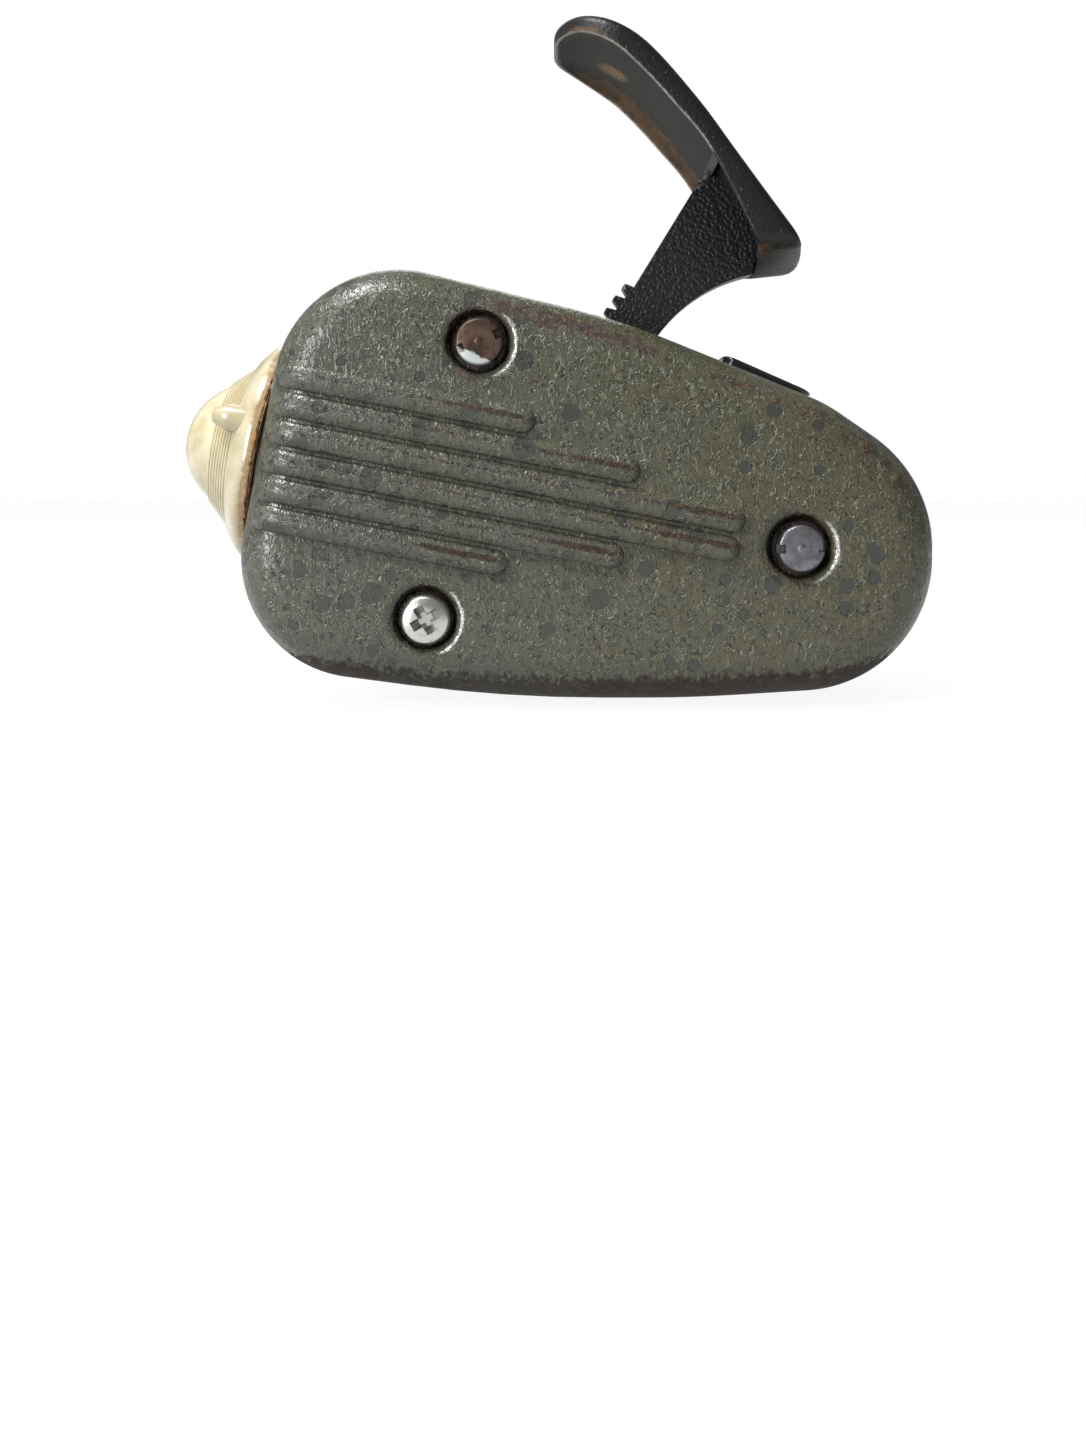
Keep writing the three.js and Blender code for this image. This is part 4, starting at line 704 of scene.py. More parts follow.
def dish_loops(centre):
    """Loops of a screw dish, from its rim down to the screw hole, each point with its height."""
    loops = []
    for radius, depth in DISH:
        ring = [centre + polar(radius, 2 * math.pi * k / DISH_SIDES) for k in range(DISH_SIDES)]
        loops.append([(p, min(0, HALF_DEPTH - depth - face_depth(p)) if depth > 0 else 0) for p in ring])
    return loops


def face_sheet(side, dishes):
    """The pressed side face: ribs and dishes as lofted patches, and flat sheet between them."""
    patches = [rib_loops(a, b) for a, b in RIBS] + [dish_loops(c) for c in dishes]

    def lifted(point, rise):
        return Vector((point.x, side * (face_depth(point) + rise), point.y))

    def taken(point, margin):
        return any(from_segment(point, a, b) < RIB_FOOT + margin for a, b in RIBS) or any(
            (point - c).length < DISH_OUTER + margin for c in dishes
        )

    loops = [SHEET_RING] + [[p for p, _ in patch[0]] for patch in patches]
    points = [p for loop in loops for p in loop]
    edges = []
    start = 0
    for loop in loops:
        edges += [(start + k, start + (k + 1) % len(loop)) for k in range(len(loop))]
        start += len(loop)
    for inset in SHEET_INSETS:
        points += [spot for spot in outline(inset) if not taken(spot, 0.3)]
    for column in range(-30, 31):
        for row in range(36):
            spot = Vector(((column + row % 2 / 2) * SHEET_PITCH, row * SHEET_PITCH * 0.866))
            if inside(spot, FLAT_RING) and not taken(spot, 0.7) and gap_to(spot, FLAT_RING, FLAT_TREE) > 1:
                points.append(spot)
    flat, _, triangles, *_ = delaunay_2d_cdt(points, edges, [], 1, 1e-6)
    kept = []
    for face in triangles:
        middle = sum((flat[i] for i in face), Vector((0, 0))) / len(face)
        if not taken(middle, -TOUCHING):
            kept.append(tuple(face))
    sheet = ([lifted(p, 0) for p in flat], kept)
    made = [skin([[lifted(p, rise) for p, rise in loop] for loop in patch]) for patch in patches]
    return merged(sheet, *made)


def wall_loops(side, rim):
    """Rings from the seam over the wall and the rounded edge to the face."""
    low, high = rim[-1][1], SHOULDER - EDGE_RADIUS
    pairs = rim + [(LIP_PROUD, low + (high - low) * k / 5) for k in range(1, 6)]
    for k in range(1, 7):
        angle = SHEET_ANGLE * k / 6
        pairs.append((LIP_PROUD + EDGE_RADIUS * (1 - math.cos(angle)), high + EDGE_RADIUS * math.sin(angle)))
    return [[Vector((p.x, side * depth, p.y)) for p in outline(inset)] for inset, depth in pairs]


def casing_half(name, side, rim, dishes):
    """One pressed half, with its sheet's thickness, cut for the lens and for the lever's arm."""
    half = mesh_piece(name, *merged(skin(wall_loops(side, rim)), face_sheet(side, dishes)))
    thick = half.modifiers.new("sheet", "SOLIDIFY")
    thick.thickness = SHEET * MM
    thick.offset = -1
    low, high = LAMP_CUT
    lamp = [(0, low), (LAMP_HOLE, low), (LAMP_HOLE, -LIP_PROUD)]
    lamp += [(LAMP_SEAT, -LIP_PROUD), (LAMP_SEAT, high), (0, high)]
    slot = skin([[Vector((x, y, z)) for x, y in ARM_SLOT] for z in ARM_SLOT_HEIGHTS], capped=True)
    lamp_hole = mesh_piece("lamp_hole", *lathe(lamp, LAMP_PLACE, 128))
    cut_away(half, lamp_hole, mesh_piece("arm_slot", *slot))
    return half


# Inset and depth of the rings along each half's rim
NEAR_RIM = [(LIP_PROUD + 0.12, SEAM), (LIP_PROUD, SEAM + 0.15), (LIP_PROUD, 1.0)]
FAR_RIM = [(0.3, -LIP_OVERLAP), (0.1, -LIP_OVERLAP + 0.06), (0, -LIP_OVERLAP + 0.25), (0, -0.9), (0, -0.1)]
FAR_RIM += [(LIP_PROUD * math.sin(math.pi / 2 * (k / 12)), LIP_LAND + FLARE * (k / 12)) for k in range(13)]


CREST_SHIFT = FRONT_UP * 0.45


def casing_wear_and_painted_light(point):
    """How far the enamel is rubbed: the lip and the rib crests; the right of each dish rim, which is a
    painted highlight; and the tail's rounded edge, worn and also painted dark there as shade.
    """
    flat = Vector((point.x, point.z))
    depth = abs(point.y)
    wear = 0.06
    if point.y > -LIP_OVERLAP - 0.1 and point.y < 1.2:
        wear = max(wear, 0.5 * (1 - blend(0.2, 1.2, abs(point.y + 0.9) - 0.7)))
    if depth > SHOULDER - 4:
        for start, end in RIBS:
            near = 1 - blend(0.1, 0.9, from_segment(flat, start + CREST_SHIFT, end + CREST_SHIFT))
            head = 1 - blend(0, 9, (flat - start).dot((end - start).normalized()))
            wear = max(wear, near * (0.52 + 0.1 * head))
    # Painted highlight: bare metal on the right of each dish rim.
    if point.y < 0:
        for centre in SCREWS:
            away = flat - centre
            side = 0.5 + 0.5 * math.cos(math.atan2(away.y, away.x) + math.radians(15))
            wear = max(wear, 0.72 * side * (1 - blend(0.1, 0.7, abs(away.length - 5.6))))
    edge = gap_to(flat, RIM_LINE, RIM_TREE)
    # Dark bare metal along the tail's rounded edge: wear, and painted shade on that side too.
    if depth > 5:
        wear = max(wear, 0.62 * blend(30, 48, flat.x) * (1 - blend(1.5, 4.6, edge)))
    return wear


def casing_rust(point):
    """Where rust shows through: along the shoulders, on the rib crests, and in three spots."""
    flat = Vector((point.x, point.z))
    depth = abs(point.y)
    edge = gap_to(flat, RIM_LINE, RIM_TREE)
    rust = 0
    if depth > 12:
        shoulder = 1 - blend(2.5, 9, edge)
        top = blend(-15, -6, flat.x) * (1 - blend(12, 22, flat.x)) * blend(30, 45, flat.y)
        bottom = max(1 - blend(-27, -18, flat.x), blend(-4, 6, flat.x)) * (1 - blend(6, 12, flat.y))
        back = blend(14, 24, flat.x) * blend(26, 32, flat.y)
        band = blend(2, 3.6, edge) * (1 - blend(4.5, 8, edge))
        rust = max(band * max(0.56 * top, 0.46 * back), shoulder * 0.6 * bottom)
    if depth > SHOULDER - 1:
        for start, end in RIBS:
            along = (flat - start).dot((end - start).normalized())
            near = 1 - blend(0.2, 0.95, from_segment(flat, start + CREST_SHIFT, end + CREST_SHIFT))
            rust = max(rust, near * (0.36 + 0.28 * blend(-16, -4, along - (end - start).length)))
        for spot, size in ((Vector((35.7, 43.9)), 2.2), (Vector((39.7, 40.9)), 2.0), (Vector((-12, 47)), 5)):
            rust = max(rust, 0.4 * (1 - blend(0.3 * size, size, (flat - spot).length)))
    return rust


def casing_arc_highlight(point):
    """Painted highlight: the bright arc on the right of each screw dish."""
    if point.y > -SHOULDER + 3:
        return 0
    flat = Vector((point.x, point.z))
    arc_highlight = 0
    for centre in SCREWS:
        away = flat - centre
        side = blend(0.1, 0.75, math.cos(math.atan2(away.y, away.x) + math.radians(10)))
        arc_highlight = max(arc_highlight, 0.66 * side * (1 - blend(0.1, 0.75, abs(away.length - 5.4))))
    return arc_highlight


def casing_copper(point):
    """Where the rust is coppery rather than maroon."""
    return blend(15, 30, point.z)


def casing_low_darkening(point):
    """Darker towards the bottom shoulder."""
    flat = Vector((point.x, point.z))
    edge = gap_to(flat, RIM_LINE, RIM_TREE)
    return 0.7 * (1 - blend(3, 9, edge)) * (1 - blend(4, 14, flat.y)) if abs(point.y) > 8 else 0


def casing_painted_shade(point):
    """Painted shade in the screw dishes, reaching furthest on their upper left, along the lower side of each
    rib and past the rib ends.
    """
    flat = Vector((point.x, point.z))
    depth = abs(point.y)
    painted_shade = 0
    if depth > SHOULDER - 3:
        for start, end in RIBS:
            run = (end - start).normalized()
            foot = from_segment(flat, start - FRONT_UP * 0.35, end - FRONT_UP * 0.35)
            lower = 1 - blend(-0.9, 0.3, (flat - start).dot(FRONT_UP))
            near = 1 - blend(0.1, 1.1, abs(foot - RIB_FOOT + 0.1))
            past = 1 - blend(0.3, 2.0, (flat - end - run * (RIB_FOOT + 0.3)).length)
            painted_shade = max(painted_shade, 0.5 * near * lower, 0.5 * past)
    # Painted shade in each dish, wider on its upper left.
    if point.y < -12:
        for centre in SCREWS:
            away = flat - centre
            lean = max(0, math.cos(math.atan2(away.y, away.x) - math.radians(140)))
            reach = 4.25 + 0.9 * lean
            sunk = blend(0.1, 0.9, HALF_DEPTH + point.y)
            painted_shade = max(painted_shade, (1 - blend(reach, reach + 0.5, away.length)) * sunk)
    return painted_shade


CASING_MARKS = {
    "wear": casing_wear_and_painted_light,
    "rust": casing_rust,
    "copper": casing_copper,
    "arc_highlight": casing_arc_highlight,
    "foot": casing_low_darkening,
    "painted_shade": casing_painted_shade,
}
near_half = casing_half("near_casing", -1, NEAR_RIM, SCREWS)
far_half = casing_half("far_casing", 1, FAR_RIM, [])
for half_piece in (near_half, far_half):
    for mark_name, mark_function in CASING_MARKS.items():
        mark(half_piece, mark_name, mark_function)
dress(near_half, "casing", "casing_enamel", enamel, "near_casing_half")
dress(far_half, "casing", "casing_enamel", enamel, "far_casing_half")


# Lens and the putty round it


DOME_RADIUS = 9.4
DOME_RISE = 5.95
DOME_TOP = 13.32
RINGS = 8
RINGS_START = (9.9, 7.3)
RINGS_END = (13.7, 3.6)
LENS_RADIUS = 17.35
BULLET_RADIUS = 2.15
BULLET_LENGTH = 5.5
BULLET_PLACE = (4.15, 13.6, 1.4)
BEAD_SIDES = 260
BEAD_SECTION = 10


def lens_profile():
    """Rounded dome, stepped rings, a collar with a groove at its foot, and the spigot."""
    sphere = (DOME_RADIUS**2 + DOME_RISE**2) / (2 * DOME_RISE)
    line = []
    for k in range(15):
        r = (DOME_RADIUS - 0.1) * math.sin(math.pi / 2 * k / 14)
        line.append((r, DOME_TOP - sphere + math.sqrt(sphere**2 - r**2)))
    line += [(9.55, 7.5), RINGS_START]
    for k in range(RINGS):
        start = RINGS_START[0] + (RINGS_END[0] - RINGS_START[0]) * k / RINGS
        rise = RINGS_START[1] + (RINGS_END[1] - RINGS_START[1]) * k / (RINGS - 1)
        line += [(start + 0.02, rise + 0.02), (start + 0.2, rise + 0.08), (start + 0.38, rise - 0.28)]
    line += [(13.75, 3.1), (14.2, 3.0), (14.5, 3.25), (16.4, 1.75), (17.1, 0.95), (LENS_RADIUS, 0.1)]
    line += [(LENS_RADIUS, -1.1), (15.6, -1.1), (15.6, -3.2)]
    inner = [(14, -3.2), (14, 0), (12, 2.0), (9.2, 5.0), (8.6, 6.6), (6.2, 9.6), (3.2, 11.3), (0, 11.8)]
    return rounded(line, 0.16, 2) + inner


def bullet(side):
    """A small blunt cone on the lens."""
    rise, aside, foot = BULLET_PLACE
    profile = [(BULLET_RADIUS, 0), (BULLET_RADIUS * 0.93, BULLET_LENGTH * 0.6)]
    profile += [(BULLET_RADIUS * 0.5, BULLET_LENGTH), (0, BULLET_LENGTH)]
    place = LAMP_PLACE @ Matrix.Translation(Vector((rise, side * aside, foot)))
    return lathe(rounded(profile, 0.9, 4), place, 32)


lens_parts = merged(lathe(lens_profile(), LAMP_PLACE, 160), bullet(1), bullet(-1))
lens = mesh_piece("domed_lens", *lens_parts, smooth_degrees=30)


def lens_dirt(point):
    local = LAMP_PLACE.inverted() @ point
    return 0.75 * (1 - blend(0.1, 1.6, local.z))


def lens_groove(point):
    """Painted shade: the dark line at the foot of each ring, and on the collar."""
    local = LAMP_PLACE.inverted() @ point
    radius = math.hypot(local.x, local.y)
    first, last = RINGS_START[0], RINGS_END[0]
    if first < radius < last:
        return blend(0.62, 0.8, (radius - first) * RINGS / (last - first) % 1)
    return max(0.8 * (1 - blend(0.1, 0.5, abs(radius - 14))), 0.3 * blend(last, 14.3, radius))


mark(lens, "wear", lens_dirt)
mark(lens, "groove", lens_groove)
dress(lens, "casing", "cream_plastic", cream, "lens")


def putty_bead():
    """Lumpy bead of residue in the joint round the lens."""
    loops = []
    for k in range(BEAD_SIDES):
        spot = polar(1, 2 * math.pi * k / BEAD_SIDES)
        lump = noise.noise(Vector((spot.x * 9, spot.y * 9, 3.1)))
        fine = noise.noise(Vector((spot.x * 42, spot.y * 42, 7.7)))
        size = max(0.22 + 0.2 * lump + 0.16 * fine, 0.06)
        ring = []
        for j in range(BEAD_SECTION):
            around = polar(size, 2 * math.pi * j / BEAD_SECTION)
            radius = LENS_RADIUS + around.x
            ring.append(LAMP_PLACE @ Vector((radius * spot.x, radius * spot.y, around.y - 0.75)))
        loops.append(ring)
    return skin([*loops, loops[0]])


bead = mesh_piece("lens_joint_residue", *putty_bead(), smooth_degrees=60)
dress(bead, "casing", "sealant", crumbs)


# Screws


SCREW_SEAT = HALF_DEPTH - DISH_DEPTH + 0.3
SHANK = [(0, -7), (1.45, -7), (1.45, 0)]
NOTCHED = [(3.35, 0), (3.35, 2.25), (3.1, 2.55), (2, 2.65), (0.6, 2.65), (0.3, 2.78), (0, 2.78)]
CROSSED = [(3.65, 0), (3.65, 1.5), (3.2, 2.3), (2.0, 2.6), (0, 2.65)]
NOTCH_MIDDLE = 3.5, 2.4
NOTCH_HALVES = 1.2, 0.65, 1.8
CROSS_HALVES = 2.1, 0.72
CROSS_LEVELS = ((0.5, 0.7), (1, 2.5), (1.1, 3.5))


def screw_place(centre, degrees):
    """Placing matrix of a screw on the floor of its dish, turned about its own length."""
    turn = Matrix.Rotation(math.radians(degrees), 4, "Z")
    return frame_of((centre.x, -SCREW_SEAT, centre.y), (0, -1, 0), (1, 0, 0)) @ turn


def notched_head(name, centre, degrees):
    """Flat head with two notches cut in from the rim and a pip in the middle."""
    place = screw_place(centre, degrees)
    head = mesh_piece(name, *lathe(rounded(SHANK + NOTCHED, 0.12, 2), place, 80))
    out, up = NOTCH_MIDDLE
    a, b, c = NOTCH_HALVES
    notches = []
    for side in (-1, 1):
        middle = Vector((side * out, 0, up))
        loops = [[place @ (middle + Vector((x * a, y * b, z * c))) for x, y in SQUARE] for z in (-1, 1)]
        notches.append(mesh_piece("notch", *skin(loops, capped=True)))
    cut_away(head, *notches)
    return head


def crossed_head(name, centre, degrees):
    """Cheese head with a cross recess, narrower at its floor."""
    place = screw_place(centre, degrees)
    head = mesh_piece(name, *lathe(rounded(SHANK + CROSSED, 0.3, 4), place, 80))
    a, b = CROSS_HALVES
    arms = []
    for turn in (0, 90):
        way = place @ Matrix.Rotation(math.radians(turn), 4, "Z")
        loops = [[way @ Vector((x * a * s, y * b * s, z)) for x, y in SQUARE] for s, z in CROSS_LEVELS]
        arms.append(mesh_piece("cross_arm", *skin(loops, capped=True)))
    cut_away(head, *arms)
    return head


top_screw = notched_head("top_screw", SCREWS[0], 21)
# Painted reflection: a bright crescent on the lower left of the top screw's head.
crescent_way = polar(1, math.radians(-115))
mark(top_screw, "bright", lambda p: blend(1.4, 2.3, (Vector((p.x, p.z)) - SCREWS[0]).dot(crescent_way)))
dress(top_screw, "casing", "rusty_zinc", rusted, "top_casing_screw")
dress(notched_head("tail_screw", SCREWS[1], 2), "casing", "zinc", dull_zinc, "tail_casing_screw")
dress(crossed_head("lower_screw", SCREWS[2], 30), "casing", "zinc", bright_zinc, "lower_casing_screw")


# Lever


def handle_point(share):
    return PIVOT + Vector(share) * HANDLE_REACH


def from_pivot(radius, degrees):
    angle = math.radians(degrees)
    return Vector((PIVOT.x - radius * math.sin(angle), PIVOT.y + radius * math.cos(angle)))


def flowing(shares, count):
    """Evenly spaced points on a smooth curve through the named ones."""
    knots = [handle_point(s) for s in shares]
    fine = []
    pieces = 24
    for i in range(len(knots) - 1):
        p0, p1, p2 = knots[max(i - 1, 0)], knots[i], knots[i + 1]
        p3 = knots[min(i + 2, len(knots) - 1)]
        v0, v1 = (p2 - p0) / 2, (p3 - p1) / 2
        cubed = 2 * p1 - 2 * p2 + v0 + v1
        squared = 3 * p2 - 3 * p1 - 2 * v0 - v1
        for k in range(pieces):
            t = k / pieces
            fine.append(cubed * t**3 + squared * t**2 + v0 * t + p1)
    fine.append(knots[-1])
    gone = [0]
    for a, b in zip(fine, fine[1:]):
        gone.append(gone[-1] + (b - a).length)
    points = []
    j = 0
    for k in range(count + 1):
        target = gone[-1] * k / count
        while j < len(fine) - 2 and gone[j + 1] < target:
            j += 1
        share = (target - gone[j]) / max(gone[j + 1] - gone[j], 1e-9)
        points.append(fine[j].lerp(fine[j + 1], min(share, 1)))
    return points, gone[-1]


BACK_COUNT = 400
BACK_LINE, BACK_LENGTH = flowing(HANDLE_BACK, BACK_COUNT)
EDGE_LINE, _ = flowing(HANDLE_EDGE, 200)
TAIL_WAY = (EDGE_LINE[0] - BACK_LINE[0]).normalized()


def handle_frame(distance):
    """Point on the back, direction towards the rim, and depth there."""
    if distance < 0:
        point, way, reach = handle_frame(0)
        return point - (BACK_LINE[12] - BACK_LINE[0]).normalized() * -distance, way, reach
    share = min(distance / BACK_LENGTH, 1) * BACK_COUNT
    i = min(int(share), BACK_COUNT - 1)
    point = BACK_LINE[i].lerp(BACK_LINE[i + 1], share - i)
    low, high = max(i - 6, 0), min(i + 7, BACK_COUNT)
    run = (BACK_LINE[high] - BACK_LINE[low]).normalized()
    normal = Vector((-run.y, run.x))
    way = TAIL_WAY.lerp(normal, blend(0, 16, distance)).normalized()
    best = None
    for a, b in zip(EDGE_LINE, EDGE_LINE[1:]):
        side_a = way.x * (a.y - point.y) - way.y * (a.x - point.x)
        side_b = way.x * (b.y - point.y) - way.y * (b.x - point.x)
        if side_a * side_b <= 0 and side_a != side_b:
            spot = a.lerp(b, side_a / (side_a - side_b))
            reach = (spot - point).dot(way)
            if reach > 0 and (best is None or reach < best):
                best = reach
    if best is None:
        best = min((EDGE_LINE[0] - point).length, (EDGE_LINE[-1] - point).length)
    return point, way, best


CORNER_STEPS = 4
SIDE_STEPS = 36
TIP_STEPS = 16
STATIONS = CORNER_STEPS + SIDE_STEPS + TIP_STEPS + 1
ACROSS = 8


def handle_loop(inset, depth, rise=None):
    """Loop of the handle's plan at an inset.

    The depth runs from the back, or from the rim where it is below 0. A rise is a share from floor to rim.
    """
    side = HANDLE_HALF_WIDTH - inset
    bend = BACK_LENGTH - HANDLE_TIP_RADIUS
    corner = TAIL_CORNER - inset * TAIL_CORNER / (HANDLE_HALF_WIDTH - TAIL_CORNER)
    radius = HANDLE_TIP_RADIUS - inset
    plan = []
    for k in range(CORNER_STEPS):
        angle = math.pi / 2 * k / CORNER_STEPS
        plan.append((inset + corner * (1 - math.cos(angle)), side - corner * (1 - math.sin(angle))))
    start = inset + corner
    plan += [(start + (bend - start) * k / SIDE_STEPS, side) for k in range(SIDE_STEPS)]
    for k in range(TIP_STEPS + 1):
        angle = math.pi / 2 * k / TIP_STEPS
        half = HANDLE_HALF_WIDTH - HANDLE_TIP_RADIUS + radius * math.cos(angle)
        plan.append((bend + radius * math.sin(angle), half))
    other_side = [(s, -y) for s, y in reversed(plan)]
    tip, tail = plan[-1], plan[0]
    plan += [(tip[0], tip[1] * (1 - 2 * k / ACROSS)) for k in range(1, ACROSS)] + other_side
    for k in range(1, ACROSS):
        share = 1 - 2 * k / ACROSS
        plan.append((tail[0] - TAIL_BOW * (1 - share**2), -tail[1] * share))
    loop = []
    for s, y in plan:
        point, way, reach = handle_frame(s)
        if rise is not None:
            depth = HANDLE_PLATE + (reach - HANDLE_PLATE) * rise
        spot = point + way * (depth if depth >= 0 else reach + depth)
        loop.append(Vector((spot.x, y, spot.y)))
    return loop


def handle_ladder(loop):
    """Fills a handle loop with cross strips."""
    other = STATIONS + ACROSS - 1
    right, left = loop[:STATIONS], loop[other : other + STATIONS][::-1]
    rows = [[a.lerp(b, j / ACROSS) for j in range(ACROSS + 1)] for a, b in zip(right, left)]
    rows[0] = [right[0], *loop[other + STATIONS :][::-1], left[0]]
    rows[-1] = [right[-1], *loop[STATIONS:other], left[-1]]
    return skin(rows, closed=False)


def handle_shell():
    """Spoon-shaped handle: back, rounded shoulders, thin rim and a hollow that curves to its floor."""
    loops = []
    for k in range(6):
        angle = math.pi / 2 * k / 5
        inset = HANDLE_SHOULDER * (1 - math.sin(angle))
        loops.append(handle_loop(inset, HANDLE_SHOULDER * (1 - math.cos(angle))))
    rim = HANDLE_RIM / 2
    for k in range(9):
        angle = math.pi * k / 8
        loops.append(handle_loop(rim * (1 - math.cos(angle)), -rim * (1 - math.sin(angle)) - 1e-6))
    for k in range(9):
        angle = math.pi / 2 * k / 8
        inset = HANDLE_RIM + HANDLE_BOWL * (1 - math.cos(angle))
        loops.append(handle_loop(inset, 0, 0.93 * (1 - math.sin(angle))))
    return merged(skin(loops), handle_ladder(loops[0]), handle_ladder(loops[-1]))


def cross_wall():
    """Wall across the trough where the arm's front edge meets it."""
    loops = []
    for s, drop in ((18.1, 0.9), (18.25, 0.5), (19.75, 0.5), (19.9, 0.9)):
        point, way, reach = handle_frame(s)
        low = point + way * (HANDLE_PLATE - 0.3)
        high = point + way * (reach - drop)
        half = HANDLE_HALF_WIDTH - HANDLE_RIM + 0.2
        corners = ((low, -half), (high, -half), (high, half), (low, half))
        loops.append([Vector((p.x, y, p.y)) for p, y in corners])
    return skin(loops, capped=True)


def tooth(centre):
    """One involute tooth of the sector, anticlockwise."""
    pitch = SECTOR_MODULE * SECTOR_TEETH / 2
    base = pitch * math.cos(math.radians(PRESSURE_DEGREES))
    tip = pitch + SECTOR_MODULE * ADDENDUM
    root = pitch - SECTOR_MODULE * DEDENDUM

    def involute(radius):
        angle = math.acos(min(base / radius, 1))
        return math.tan(angle) - angle

    half_pitch = math.pi / (2 * SECTOR_TEETH) - TOOTH_THINNING / (2 * pitch)
    rising = []
    for k in range(5):
        radius = root + (tip - root) * k / 4
        rising.append((radius, half_pitch + involute(pitch) - involute(max(radius, base))))
    return [polar(r, centre - a) for r, a in rising] + [polar(r, centre + a) for r, a in reversed(rising)]


def arm_outline():
    """Side view of the arm: hub, teeth, front edge, the line inside the handle's back, and inner arc."""
    pitch = 2 * math.pi / SECTOR_TEETH
    first = math.pi / 2 + math.radians(PINION_DEGREES) + pitch
    points = [from_pivot(1.25, 140)]
    for k in range(SECTOR_SHOWN):
        points += [PIVOT + p for p in reversed(tooth(first - k * pitch))]
    inside_back = []
    for s in (20, 15, 10, 5, 1):
        point, way, _ = handle_frame(s)
        inside_back.append(point + way * 0.9)
    points += [handle_point(ARM_FRONT), *inside_back]
    points.append(handle_point(ARM_HEEL))
    points += [from_pivot(INNER_ARC, 12 + 60 * k / 24) for k in range(25)]
    points.append(from_pivot(1.25, 30))
    return points


def drawn_in(points, distance):
    """A closed outline moved inwards by a distance, corner by corner."""
    area = sum(a.x * b.y - b.x * a.y for a, b in zip(points, points[1:] + points[:1]))
    turn = 1 if area > 0 else -1
    moved = []
    for i, p in enumerate(points):
        before = (p - points[i - 1]).normalized()
        after = (points[(i + 1) % len(points)] - p).normalized()
        normal = Vector((-before.y - after.y, before.x + after.x)) * turn
        if normal.length < 1e-6:
            moved.append(p)
            continue
        normal.normalize()
        spread = max(normal.dot(Vector((-after.y, after.x)) * turn), 0.4)
        moved.append(p + normal * distance / spread)
    return moved


def arm_web():
    flat = arm_outline()
    small = drawn_in(flat, ARM_BEVEL)
    inner = ARM_HALF - ARM_BEVEL
    rings = ((small, -ARM_HALF), (flat, -inner), (flat, inner), (small, ARM_HALF))
    return skin([[Vector((p.x, y, p.y)) for p in ring] for ring, y in rings], capped=True)


def hub():
    place = frame_of((PIVOT.x, -HUB_HALF, PIVOT.y), (0, 1, 0), (1, 0, 0))
    length = 2 * HUB_HALF
    profile = [(HUB_BORE, 0), (HUB_RADIUS, 0), (HUB_RADIUS, length), (HUB_BORE, length), (HUB_BORE, 0)]
    return lathe(rounded(profile, 0.2, 2), place, 48)


def lock_stud():
    """Stud on the near side of the arm, which the slide's hook catches."""
    stud = from_pivot(*STUD_PLACE)
    place = frame_of((stud.x, 0, stud.y), (0, -1, 0), (1, 0, 0))
    return lathe(rounded([(1, 0), (1, STUD_LENGTH), (0, STUD_LENGTH)], 0.2, 2), place, 32)


handle = mesh_piece("lever_handle", *merged(handle_shell(), cross_wall()), smooth_degrees=40)
arm = mesh_piece("lever_arm", *merged(arm_web(), hub(), lock_stud()), smooth_degrees=30)


def handle_wear(point):
    """Rubbed rim from the middle of the handle on, and a rubbed tip."""
    flat = Vector((point.x, point.z))
    best = min(range(len(EDGE_LINE)), key=lambda i: (EDGE_LINE[i] - flat).length)
    rim = 1 - blend(0.1, 0.45, (EDGE_LINE[best] - flat).length)
    tip = BACK_LINE[-1].x
    return max(0.78 * rim * blend(58, 72, best), 0.42 * (1 - blend(0.5, 6, point.x - tip)))


def handle_hollow(point):
    """The smooth hollow side of the handle."""
    flat = Vector((point.x, point.z))
    back = min((BACK_LINE[i] - flat).length for i in range(0, BACK_COUNT, 4))
    return blend(1.2, 1.9, back) * (1 - blend(HANDLE_HALF_WIDTH - 0.9, HANDLE_HALF_WIDTH - 0.5, abs(point.y)))


def handle_brown(point):
    """Brown from hands, towards both sides of the hollow."""
    return handle_hollow(point) * 0.62 * blend(4, 13, abs(point.y))


def handle_scuff(point):
    """A scuff worn near the tip."""
    away = (point - Vector((10.5, 4, 100.5))).length
    return handle_hollow(point) * (1 - blend(0.5, 8.5, away))


def arm_wear(point):
    """Rubbed teeth and front edge."""
    flat = Vector((point.x, point.z))
    radius = (flat - PIVOT).length
    wear = 0.1
    if radius > 32 and flat.x < PIVOT.x - 12:
        wear = 0.4 * (1 - blend(0, 1.2, abs(radius - 33)))
    front = from_segment(flat, from_pivot(33, 52), handle_point(ARM_FRONT))
    return max(wear, 0.7 * (1 - blend(0.1, 0.5, front)))


mark(handle, "wear", handle_wear)
mark(handle, "hollow", handle_hollow)
mark(handle, "brown", handle_brown)
mark(handle, "scuff", handle_scuff)
mark(arm, "wear", arm_wear)
dress(handle, "lever", "black_enamel", satin_black, "squeeze_lever")
dress(arm, "lever", "black_enamel", crackle, "squeeze_lever")


# Lock slide


SLIDE_LENGTH = 15
SLIDE_WIDTH = 10
SLIDE_CORNER = 2.5
SLIDE_BEVEL = 0.4
SLIDE_BOTTOM = 0.1
SLIDE_TOP = 0.95
SLIDE_DIP = 0.03
SLIDE_FORWARD = 3.15
SKIRT_INSET = 0.1
SKIRT_WIDTH = 0.4
SKIRT_HEIGHTS = (-0.9, 0.3)
TONGUE_WIDTH = 2.8
TONGUE_SIDES = (-3.1, -2.3)
HOOK_THICK = 1.6


